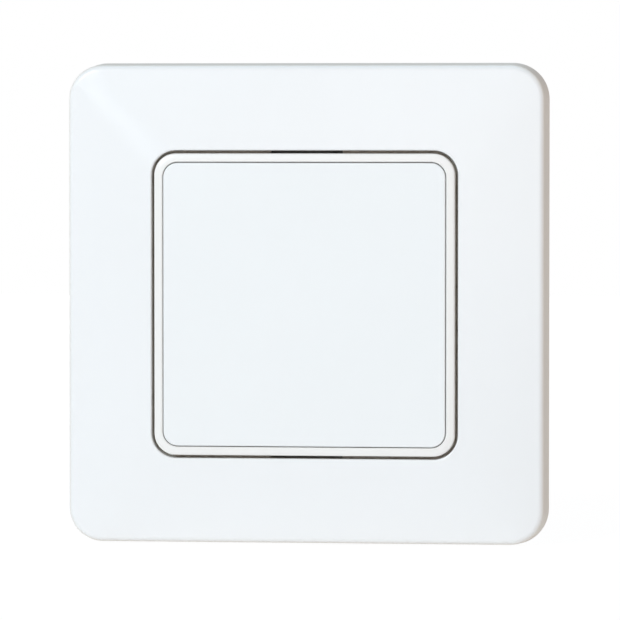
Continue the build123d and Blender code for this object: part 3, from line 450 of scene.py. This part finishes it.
def metal(name, colour, gloss, grain, drag, tarnish=0.8):
    """Turned, drawn or bent metal with tool marks and a slight tarnish."""

    def build(nodes):
        marks = nodes.noise(grain, stretch=drag)
        cloud = nodes.noise(size=3 * MM, detail=3.0)
        return {
            "Base Color": nodes.mottle(cloud, colour, dark=tarnish, light=1.06),
            "Roughness": gloss + swing(cloud, width=0.16) + swing(marks, width=0.1),
            "Normal": nodes.bump(marks, depth=0.006 * MM),
        }

    finish(name, build, Metallic=1.0)


def coated(name, colour, gloss, grain, depth, dark=0.85):
    """Sintered, lacquered or potted surface with small pits and a mottled tone."""

    def build(nodes):
        pits = nodes.noise(grain, detail=3.0)
        return {
            "Base Color": nodes.mottle(pits, colour, dark, light=1.1),
            "Roughness": gloss + swing(pits, width=0.2),
            "Normal": nodes.bump(pits, depth),
        }

    finish(name, build, IOR=1.5)


def solder_mask(name, colour, gloss, spacing, half):
    """Circuit board: glossy lacquer over copper tracks."""

    def build(nodes):
        edges = nodes.cells(spacing, {"feature": "DISTANCE_TO_EDGE", "distance": "EUCLIDEAN"})
        track = edges * spacing < half
        weave = nodes.noise(size=0.5 * MM)
        base = nodes.mottle(weave, colour, dark=0.85, light=1.1)
        return {
            "Base Color": nodes.blend(track, base, shade(colour, level=1.7)),
            "Roughness": gloss + swing(weave, width=0.12),
            "Normal": nodes.bump(track + weave * WEAVE_RELIEF, depth=0.02 * MM),
        }

    finish(name, build, IOR=1.52)


def glass(name, colour, gloss):
    """Clear glass tube, slightly streaked."""

    def build(nodes):
        streaks = nodes.noise(size=0.8 * MM, stretch=(0.2, 1.0, 1.0))
        rough = gloss + swing(streaks, width=0.05)
        return {"Roughness": rough, "Normal": nodes.bump(streaks, depth=0.002 * MM)}

    finish(name, build, Base_Color=(*colour, 1.0), IOR=1.48, Transmission_Weight=0.9)


def make_finishes(scene):
    """Makes the finish of every material slot in the record."""
    colours, sizes = scene.dimmer_colours, scene.dimmer_sizes
    satin = {"grain": sizes.grain, "depth": 0.004 * MM}
    eroded = {"grain": sizes.spark, "depth": 0.02 * MM, "gloss": 0.55, "flow": 9 * MM}
    # behind these depths the sides turn matt and take painted shade
    frame_matte_and_shade = FRAME_MATTE_AND_SHADE - scene.dimmer_frame.height
    ring_matte_and_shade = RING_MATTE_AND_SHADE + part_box("button_surround")[0][1]
    ring = {"gloss": 0.24, "flow": 12 * MM, "specks": 0.12 * MM, "matte_from": ring_matte_and_shade}
    moulding("frame_white", colours.frame_white, **satin, gloss=0.15, flow=26 * MM, matte_from=frame_matte_and_shade)
    moulding("ring_white", colours.ring_white, **satin, **ring)
    moulding("plate_white", colours.plate_white, **satin, gloss=0.36, flow=22 * MM, specks=0.14 * MM)
    moulding("inner_white", colours.inner_white, **satin, gloss=0.45, flow=6 * MM)
    moulding("housing_grey", colours.housing_grey, **eroded)
    moulding("cover_grey", colours.cover_grey, **eroded)

    # the plate's front, to this depth, takes the grey of painted shade
    lacquer_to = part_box("mounting_plate")[0][1] + SHADED_FRONT_EDGE
    rolled = {"gloss": 0.34, "drag": (0.04, 1.0, 1.0), "lacquer_to": lacquer_to}
    plated("plate_steel", colours.zinc, sizes.spangle, **rolled)
    plated("claw_steel", colours.zinc, sizes.claw_spangle, gloss=0.36, drag=(1.0, 0.05, 1.0))

    along, across = (1.0, 3.0, 1.0), (0.05, 1.0, 1.0)
    metal("screw_steel", shade(colours.zinc, level=1.04), gloss=0.3, grain=0.12 * MM, drag=(1.0, 6.0, 1.0))
    metal("spring_steel", colours.steel, gloss=0.25, grain=0.1 * MM, drag=along)
    metal("terminal_brass", colours.brass, gloss=0.28, grain=0.12 * MM, drag=(1.0, 5.0, 1.0))
    metal("copper", colours.copper, gloss=0.22, grain=0.15 * MM, drag=along)
    metal("aluminium", colours.aluminium, gloss=0.34, grain=0.1 * MM, drag=across, tarnish=0.93)

    coated("ferrite", colours.ferrite, gloss=0.6, grain=0.2 * MM, depth=0.02 * MM)
    coated("film_box", colours.film, gloss=0.4, grain=0.3 * MM, depth=0.006 * MM, dark=0.94)
    coated("black_epoxy", colours.epoxy, gloss=0.5, grain=0.12 * MM, depth=0.008 * MM)
    coated("can_sleeve", colours.sleeve, gloss=0.3, grain=0.6 * MM, depth=0.004 * MM, dark=0.95)
    coated("resistor_coat", colours.resistor, gloss=0.35, grain=0.25 * MM, depth=0.01 * MM, dark=0.92)
    tracks = {"spacing": sizes.track_spacing, "half": sizes.track_half}
    solder_mask("board_green", colours.board, gloss=0.34, **tracks)
    glass("fuse_glass", colours.glass, gloss=0.045)


def dress(piece, material):
    """Gives a piece or a CAD node its one material."""
    if not piece.material_slots:
        piece.data.materials.append(material)
    for holder in piece.material_slots:
        holder.material = material


def dress_nodes(*nodes):
    """Gives CAD nodes the finish of their slot."""
    for node in nodes:
        dress(frame["nodes"][node], bpy.data.materials[SLOTS[node] + FINISH])


def stand_for(piece, node, body):
    """Puts a piece in a CAD node's place, on its body and in its finish."""
    dress(piece, bpy.data.materials[SLOTS[node] + FINISH])
    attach(piece, body)
    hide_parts(node)


def work_on(piece):
    """Selects this one object and nothing else."""
    for other in bpy.context.selected_objects:
        other.select_set(False)
    piece.select_set(True)
    bpy.context.view_layer.objects.active = piece


def edit_all(piece):
    """Opens a piece in edit mode with its whole mesh selected."""
    work_on(piece)
    bpy.ops.object.mode_set(mode="EDIT")
    bpy.ops.mesh.select_all(action="SELECT")


def leave_edit():
    """Goes back from edit mode to object mode."""
    bpy.ops.object.mode_set(mode="OBJECT")


def settle():
    """The object just added, with its place and turn moved into its mesh."""
    bpy.ops.object.transform_apply(location=True, rotation=True, scale=True)
    return bpy.context.object


def copy_of(source, name):
    """A copy of an object with its own mesh."""
    piece = bpy.data.objects.new(name, source.data.copy())
    bpy.context.scene.collection.objects.link(piece)
    return piece


def shift(piece, along):
    """Moves the whole mesh of a piece whose origin stays where it is."""
    edit_all(piece)
    bpy.ops.transform.translate(value=along)
    leave_edit()


def pick_faces(piece, test):
    """Selects, in edit mode, the faces whose middle passes a test."""
    bpy.ops.mesh.select_mode(type="FACE")
    bpy.ops.mesh.select_all(action="DESELECT")
    mesh = bmesh.from_edit_mesh(piece.data)
    for face in mesh.faces:
        face.select = test(face.calc_center_median())
    mesh.select_flush_mode()
    bmesh.update_edit_mesh(piece.data)


def apply_modifier(piece, kind, **settings):
    """Adds a modifier with its settings and applies it."""
    work_on(piece)
    modifier = piece.modifiers.new(kind.lower(), kind)
    for key, value in settings.items():
        setattr(modifier, key, value)
    bpy.ops.object.modifier_apply(modifier=modifier.name)


def combine(piece, operation, other):
    """Joins another object to a piece or cuts it away, and removes that object."""
    apply_modifier(piece, "BOOLEAN", operation=operation, object=other, solver="EXACT")
    bpy.data.objects.remove(other)


def smooth(piece, sharp_from):
    """Smooth shading, apart from edges sharper than an angle."""
    work_on(piece)
    bpy.ops.object.shade_smooth_by_angle(angle=sharp_from)


def smooth_flats(piece, sharp_from):
    """Smooth shading led by the large faces, so that flat faces stay flat."""
    smooth(piece, sharp_from)
    apply_modifier(piece, "WEIGHTED_NORMAL", keep_sharp=True, weight=100)


def spread(first, last, steps):
    """Evenly spread values from one to another."""
    return [first + (last - first) * step / steps for step in range(steps + 1)]


def block(low, high):
    """A box between two corners."""
    low, high = Vector(low), Vector(high)
    bpy.ops.mesh.primitive_cube_add(size=1.0, location=(low + high) / 2, scale=high - low)
    return settle()


def coil(name, radius, section, sides, start, rise, turns, steps):
    """A wire or ridge wound round the Y axis, closed at both ends."""
    bpy.ops.mesh.primitive_circle_add(
        vertices=sides, radius=section, location=(radius, start, 0.0), rotation=(0.0, 0.0, -math.pi / 2)
    )
    piece = settle()
    piece.name = name
    apply_modifier(
        piece, "SCREW", axis="Y", screw_offset=rise, iterations=turns, steps=steps, render_steps=steps
    )
    bpy.ops.object.mode_set(mode="EDIT")
    bpy.ops.mesh.select_mode(type="EDGE")
    bpy.ops.mesh.select_all(action="DESELECT")
    bpy.ops.mesh.select_non_manifold()
    bpy.ops.mesh.edge_face_add()
    bpy.ops.mesh.select_all(action="SELECT")
    bpy.ops.mesh.remove_doubles(threshold=WELD)
    bpy.ops.mesh.normals_make_consistent(inside=False)
    leave_edit()
    return piece


def merged_copy(node, name):
    """A copy of a CAD node with its loose triangles joined into one skin."""
    piece = copy_of(frame["nodes"][node], name)
    edit_all(piece)
    bpy.ops.mesh.remove_doubles(threshold=WELD)
    bpy.ops.mesh.customdata_custom_splitnormals_clear()
    leave_edit()
    return piece


def softened(node, name, body, width):
    """A copy of a CAD node with its edges rounded, in the node's place."""
    piece = merged_copy(node, name)
    edit_all(piece)
    bpy.ops.mesh.dissolve_limited(angle_limit=FLAT_WITHIN)
    leave_edit()
    apply_modifier(
        piece,
        "BEVEL",
        width=width,
        segments=BEVEL_STEPS,
        limit_method="ANGLE",
        angle_limit=BEVEL_FROM,
        use_clamp_overlap=True,
    )
    smooth_flats(piece, SHEET_SHARP)
    stand_for(piece, node, body)


class DIMMER_OT_finishes(bpy.types.Operator):
    """Makes every finish from the sizes and colours in the panel"""

    bl_idname = "dimmer.finishes"
    bl_label = "Finishes"

    def execute(self, context):
        make_finishes(context.scene)
        missing = sorted(slot for slot in set(SLOTS.values()) if slot + FINISH not in bpy.data.materials)
        if missing:
            raise RuntimeError(f"no finish for {missing}")
        return {"FINISHED"}


class DIMMER_OT_frame(bpy.types.Operator):
    """Models the cover frame, lofted through rounded squares so that its hips are softly rounded"""

    bl_idname = "dimmer.frame"
    bl_label = "Cover frame"

    def execute(self, context):
        sizes = context.scene.dimmer_frame
        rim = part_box("cover_frame")[1][0]
        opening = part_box("button_surround")[1][0] + sizes.gap
        shell = self.loft(self.section(sizes, rim, opening))
        shell.name = "frame_shell"
        combine(shell, "UNION", self.ribs(sizes, rim, opening))
        combine(shell, "DIFFERENCE", self.notches(sizes, opening))
        smooth_flats(shell, FRAME_SHARP)
        stand_for(shell, "cover_frame", "insert")
        return {"FINISHED"}

    def rounding(self, place, radius, first, last):
        """Points of the arc that rounds a corner of the section between two face directions."""
        ways = [Vector((math.cos(way), math.sin(way))) for way in spread(first, last, ROUND_STEPS)]
        middle = Vector(place) - radius * (ways[0] + ways[-1]) / (1 + ways[0].dot(ways[-1]))
        return [middle + radius * way for way in ways]

    def section(self, sizes, rim, opening):
        """Half size, corner radius and height of each square, over the outside and back inside."""
        top, wall, lean = sizes.height, sizes.wall, math.tan(sizes.draft)
        edge_high = top - sizes.fall
        edge = rim - edge_high * lean
        span = edge - opening

        def face(half):
            across = (half - opening) / span
            return top - sizes.fall * across + 4 * sizes.crown * across * (1 - across)

        def between(first, last, sunk):
            halves, corners = (spread(a, b, FACE_STEPS) for a, b in zip(first, last))
            return [(half, corner, face(half) - sunk) for half, corner in zip(halves, corners)]

        steep, flat = (math.atan((sizes.fall + sign * 4 * sizes.crown) / span) for sign in (1, -1))
        edges = self.rounding((edge, edge_high), sizes.edge_round, sizes.draft, math.pi / 2 - steep)
        lips = self.rounding((opening, top), sizes.lip_round, math.pi / 2 - flat, math.pi)
        outer = [(point.x, sizes.corner - rim + point.x, point.y) for point in edges]
        lip = [(point.x, sizes.opening_corner - opening + point.x, point.y) for point in lips]
        ledge = (opening - sizes.ledge_reach, sizes.ledge_corner)
        ledge_low = sizes.ledge_high - sizes.ledge_thick
        well = (opening + sizes.well_wall, sizes.opening_corner + sizes.well_wall)
        inner = rim - wall - (edge_high - wall) * lean
        return [
            (rim, sizes.corner, 0.0),
            *outer,
            *between(outer[-1][:2], lip[0][:2], 0.0)[1:-1],
            *lip,
            (opening, sizes.opening_corner, sizes.ledge_high),
            (*ledge, sizes.ledge_high),
            (*ledge, ledge_low),
            (*well, ledge_low),
            *between(well, (inner, sizes.corner - rim + inner), wall),
            (rim - wall, sizes.corner - wall, 0.0),
        ]

    def square(self, name, half, corner, place):
        """A square outline with rounded corners, its vertices in a group of its name."""
        bpy.ops.mesh.primitive_plane_add(
            size=2 * half, location=(0.0, place, 0.0), rotation=(math.pi / 2, 0.0, 0.0)
        )
        outline = settle()
        edit_all(outline)
        bpy.ops.mesh.bevel(offset=corner, segments=CORNER_STEPS, affect="VERTICES")
        bpy.ops.mesh.delete(type="ONLY_FACE")
        leave_edit()
        outline.vertex_groups.new(name=name).add(range(len(outline.data.vertices)), 1.0, "REPLACE")
        return outline

    def choose(self, shell, *names):
        """Selects, in edit mode, the vertices of the outlines with these names."""
        bpy.ops.mesh.select_all(action="DESELECT")
        for name in names:
            shell.vertex_groups.active_index = shell.vertex_groups[name].index
            bpy.ops.object.vertex_group_select()

    def loft(self, section):
        """One closed skin through the squares: bridged in a tall stack, then each moved to its height."""
        names = [f"square_{step}" for step in range(len(section))]
        stack = [-step * STACK for step in range(len(section))]
        outlines = [
            self.square(name, half, corner, place)
            for name, (half, corner, height), place in zip(names, section, stack)
        ]
        shell = outlines[0]
        work_on(shell)
        for outline in outlines:
            outline.select_set(True)
        bpy.ops.object.join()
        bpy.ops.object.mode_set(mode="EDIT")
        bpy.ops.mesh.select_mode(type="VERT")
        for pair in zip(names, names[1:] + names[:1]):
            self.choose(shell, *pair)
            bpy.ops.mesh.bridge_edge_loops()
        for name, (half, corner, height), place in zip(names, section, stack):
            self.choose(shell, name)
            bpy.ops.transform.translate(value=(0.0, -height - place, 0.0))
        bpy.ops.mesh.select_all(action="SELECT")
        bpy.ops.mesh.normals_make_consistent(inside=False)
        leave_edit()
        shell.vertex_groups.clear()
        return shell

    def ribs(self, sizes, rim, opening):
        """Eight ribs behind the face: one modelled, mirrored to four and turned for the other sides."""
        side, half = sizes.rib_spacing / 2, sizes.rib_thick / 2
        rib = block(
            (side - half, sizes.wall - sizes.height, opening + sizes.well_wall - WELD),
            (side + half, -sizes.rib_low, rim - sizes.wall),
        )
        apply_modifier(rib, "MIRROR", use_axis=(True, False, True))
        across = copy_of(rib, "ribs_across")
        edit_all(across)
        bpy.ops.transform.rotate(value=math.pi / 2, orient_axis="Y", center_override=(0.0, 0.0, 0.0))
        leave_edit()
        rib.select_set(True)
        bpy.context.view_layer.objects.active = rib
        bpy.ops.object.join()
        return rib

    def notches(self, sizes, opening):
        """What is cut from the upper and the lower ledge, in one block across the opening."""
        half, reach = sizes.notch / 2, opening - WELD
        foot = sizes.ledge_high - sizes.ledge_thick - sizes.wall
        return block((-half, -sizes.height, -reach), (half, -foot, reach))


class DIMMER_OT_front(bpy.types.Operator):
    """Dresses the ring, the push plate and the mouldings behind it"""

    bl_idname = "dimmer.front"
    bl_label = "Ring and push plate"

    def execute(self, context):
        dress_nodes("button_surround", "touch_plate", "plunger", "key_switch_cap", "key_switch_body")
        return {"FINISHED"}


class DIMMER_OT_spring(bpy.types.Operator):
    """Winds the return spring of round wire"""

    bl_idname = "dimmer.spring"
    bl_label = "Return spring"

    def execute(self, context):
        half = context.scene.dimmer_sizes.spring_wire / 2
        low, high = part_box("return_spring")
        start, end = high[1] - half, low[1] + half
        rise = (end - start) / SPRING_TURNS
        spring = coil(
            "spring_coil", high[0] - half, half, WIRE_SIDES, start, rise, SPRING_TURNS, WIRE_STEPS
        )
        smooth(spring, WIRE_SHARP)
        stand_for(spring, "return_spring", "insert")
        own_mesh(spring)
        return {"FINISHED"}


class DIMMER_OT_rear(bpy.types.Operator):
    """Dresses the mounting plate, the claws, the housing and its screws"""

    bl_idname = "dimmer.rear"
    bl_label = "Plate, claws and housing"

    def execute(self, context):
        sizes = context.scene.dimmer_sizes
        softened("mounting_plate", "plate_sheet", "insert", sizes.stamped_edge)
        softened("housing_base", "housing_cup", "insert", sizes.moulded_edge)
        softened("housing_cover", "housing_lid", "insert", sizes.moulded_edge)
        softened("claw_right", "claw_sheet_right", "right_claw", sizes.stamped_edge)
        softened("claw_left", "claw_sheet_left", "left_claw", sizes.stamped_edge)
        dress_nodes("housing_screws", "terminal_clamps", "terminal_screws")
        return {"FINISHED"}


class DIMMER_OT_claw_screws(bpy.types.Operator):
    """Models the threaded claw screws with their ball-bottomed slotted heads"""

    bl_idname = "dimmer.claw_screws"
    bl_label = "Claw screws"

    def execute(self, context):
        sizes = context.scene.dimmer_sizes
        low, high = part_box("claw_screw_right")
        middle, tip = (high[0] + low[0]) / 2, high[1]
        root = sizes.screw_radius - sizes.thread_depth
        bolt = self.head(sizes, (high[0] - low[0]) / 2, low[1])
        shank = self.shank(sizes, root, tip)
        thread = self.thread(sizes, root, tip)
        for part in (bolt, shank, thread):
            part.select_set(True)
        context.view_layer.objects.active = bolt
        bpy.ops.object.join()
        bolt.name = "claw_bolt_right"
        shift(bolt, (middle, 0.0, 0.0))
        smooth(bolt, SCREW_SHARP)
        other = copy_of(bolt, "claw_bolt_left")
        shift(other, (-2 * middle, 0.0, 0.0))
        stand_for(bolt, "claw_screw_right", "right_claw")
        stand_for(other, "claw_screw_left", "left_claw")
        return {"FINISHED"}

    def head(self, sizes, ball, top):
        """Ball about the claw's pivot, with a flat top and a screwdriver slot."""
        pivot = JOINTS["right_claw_swing"]["pos_m"][1]
        bpy.ops.mesh.primitive_uv_sphere_add(
            segments=TURNED_SIDES,
            ring_count=BALL_RINGS,
            radius=ball,
            location=(0.0, pivot, 0.0),
            rotation=(math.pi / 2, 0.0, 0.0),
        )
        head = settle()
        edit_all(head)
        bpy.ops.mesh.bisect(
            plane_co=(0.0, top, 0.0), plane_no=(0.0, 1.0, 0.0), use_fill=True, clear_inner=True
        )
        leave_edit()
        past, half = 2 * ball, sizes.slot_wide / 2
        slot = block((-past, top - sizes.slot_deep, -half), (past, top + sizes.slot_deep, half))
        combine(head, "DIFFERENCE", slot)
        return head

    def shank(self, sizes, root, tip):
        """Core of the thread with a plain neck under the head and a tapered tip."""
        long = tip - sizes.tip
        bpy.ops.mesh.primitive_cylinder_add(
            vertices=TURNED_SIDES,
            radius=root,
            depth=long,
            location=(0.0, long / 2, 0.0),
            rotation=(math.pi / 2, 0.0, 0.0),
        )
        shank = settle()
        bpy.ops.object.mode_set(mode="EDIT")
        pick_faces(shank, lambda middle: middle.y > long - WELD)
        bpy.ops.mesh.extrude_region_move(TRANSFORM_OT_translate={"value": (0.0, sizes.tip, 0.0)})
        narrow = sizes.tip_share
        bpy.ops.transform.resize(value=(narrow, 1.0, narrow), center_override=(0.0, tip, 0.0))
        leave_edit()
        return shank

    def thread(self, sizes, root, tip):
        """Ridge of the thread, three-sided, from the neck to the plain end."""
        pitch = sizes.thread_pitch
        turns = int((tip - sizes.neck) / pitch)
        start = tip - sizes.run_out - turns * pitch
        ridge = sizes.thread_depth / TRIANGLE_HEIGHT
        return coil("thread", root + ridge / 2, ridge, THREAD_SIDES, start, pitch, turns, THREAD_STEPS)


class DIMMER_OT_circuit(bpy.types.Operator):
    """Dresses the circuit in the housing"""

    bl_idname = "dimmer.circuit"
    bl_label = "Circuit"

    def execute(self, context):
        dress_nodes("circuit_board", "choke_core", "choke_winding", "suppression_capacitor", "triac")
        dress_nodes("heat_spreader", "smoothing_capacitor", "controller_chip", "resistors")
        dress_nodes("fuse_link", "fuse_clips")
        return {"FINISHED"}


class DIMMER_OT_stage(bpy.types.Operator):
    """Sets up the floor, the light all round, the lamps and the camera"""

    bl_idname = "dimmer.stage"
    bl_label = "Stage"

    def execute(self, context):
        stage = context.scene.dimmer_stage
        context.scene.view_settings.view_transform = "Standard"
        self.floor(stage)
        self.surround(context.scene, stage)
        for name, lamp in LAMPS.items():
            self.lamp(stage, name, **lamp)
        self.camera(context.scene, stage)
        return {"FINISHED"}

    def eye(self, nodes):
        """1 where the camera, a reflection or glass looks, and 0 for other light."""
        rays = ("Is Camera Ray", "Is Glossy Ray", "Is Transmission Ray")
        seen, mirrored, through = (nodes.add("ShaderNodeLightPath", out=ray) for ray in rays)
        return seen + mirrored + through > 0.5

    def floor(self, stage):
        """A pale floor under the lower edge, white to the eye but for a faint shadow."""
        bpy.ops.mesh.primitive_plane_add(size=stage.floor_size, location=(0.0, 0.0, CAD_BOX[0][2]))
        ground = bpy.context.object
        ground.name = "floor"
        material = bpy.data.materials.new("floor_white")
        material.use_nodes = True
        nodes = Shading(material.node_tree)
        pale = nodes.add("ShaderNodeBsdfDiffuse", None, {"Color": (*stage.floor_pale, 1.0)})
        glowing = {"Color": (*WHITE, 1.0), "Strength": stage.floor_glow}
        white = nodes.add("ShaderNodeEmission", None, glowing)
        glow = self.eye(nodes) * (stage.floor_white - stage.bounce) + stage.bounce
        mixed = nodes.add("ShaderNodeMixShader", None, {0: glow, 1: pale, 2: white})
        nodes.add("ShaderNodeOutputMaterial", None, {"Surface": mixed})
        dress(ground, material)

    def surround(self, scene, stage):
        """Even light from all round, and white where the camera looks past the object."""
        scene.world = bpy.data.worlds.new("studio")
        scene.world.use_nodes = True
        nodes = Shading(scene.world.node_tree)
        ambient = {"Color": (*stage.soft, 1.0), "Strength": stage.ambient}
        soft = nodes.add("ShaderNodeBackground", None, ambient)
        white = nodes.add("ShaderNodeBackground", None, {"Color": (*WHITE, 1.0), "Strength": 1.0})
        mixed = nodes.add("ShaderNodeMixShader", None, {0: self.eye(nodes), 1: soft, 2: white})
        nodes.add("ShaderNodeOutputWorld", None, {"Surface": mixed})

    def lamp(self, stage, name, place, facing, size, tone, roll=0.0):
        """A flat lamp aimed at the middle, which lights a white face turned one way to a level."""
        bpy.ops.object.light_add(type="AREA", location=place)
        lamp = bpy.context.object
        lamp.name = name + "_lamp"
        away = Vector(place)
        aim = (-away).to_track_quat("-Z", "Y")
        lamp.rotation_euler = (aim @ Quaternion((0.0, 0.0, 1.0), roll)).to_euler()
        lamp.data.shape = "RECTANGLE"
        lamp.data.size, lamp.data.size_y = size
        lamp.data.color = getattr(stage, tone)
        lamp.data.energy = getattr(stage, name) * math.pi**2 * away.length**3 / away.dot(facing)

    def camera(self, scene, stage):
        """The camera at the picture's angle."""
        flat = math.cos(stage.elevation)
        way = Vector(
            (math.sin(stage.azimuth) * flat, -math.cos(stage.azimuth) * flat, math.sin(stage.elevation))
        )
        bpy.ops.object.camera_add(location=way * stage.distance)
        camera = bpy.context.object
        aim = Vector((0.0, 0.0, -stage.drop)) - camera.location
        camera.rotation_euler = aim.to_track_quat("-Z", "Y").to_euler()
        camera.data.sensor_width = SENSOR
        camera.data.lens = stage.lens
        scene.camera = camera


class DIMMER_PT_panel(bpy.types.Panel):
    """Lists the steps that dress the dimmer"""

    bl_label = "Touch dimmer"
    bl_space_type = "VIEW_3D"
    bl_region_type = "UI"
    bl_category = "Dimmer"

    def draw(self, context):
        for step in STEPS:
            self.layout.operator(step.bl_idname)
        for group in GROUPS:
            values = getattr(context.scene, group)
            for key in values.bl_rna.properties.keys():
                if key not in ("rna_type", "name"):
                    self.layout.prop(values, key)


STEPS = (
    DIMMER_OT_finishes,
    DIMMER_OT_frame,
    DIMMER_OT_front,
    DIMMER_OT_spring,
    DIMMER_OT_rear,
    DIMMER_OT_claw_screws,
    DIMMER_OT_circuit,
    DIMMER_OT_stage,
)
GROUPS = {
    "dimmer_sizes": DimmerSizes,
    "dimmer_frame": DimmerFrameSizes,
    "dimmer_colours": DimmerColours,
    "dimmer_stage": DimmerStage,
}


def register():
    """Makes the steps, the panel and the values known to Blender."""
    for kind in (*GROUPS.values(), *STEPS, DIMMER_PT_panel):
        bpy.utils.register_class(kind)
    for name, kind in GROUPS.items():
        setattr(bpy.types.Scene, name, PointerProperty(type=kind))


def unregister():
    """Takes them away again."""
    for name in GROUPS:
        delattr(bpy.types.Scene, name)
    for kind in (DIMMER_PT_panel, *reversed(STEPS), *GROUPS.values()):
        bpy.utils.unregister_class(kind)


def main():
    """Runs every step in order."""
    register()
    for step in STEPS:
        group, name = step.bl_idname.split(".")
        getattr(getattr(bpy.ops, group), name)()


if __name__ == "__main__":
    main()
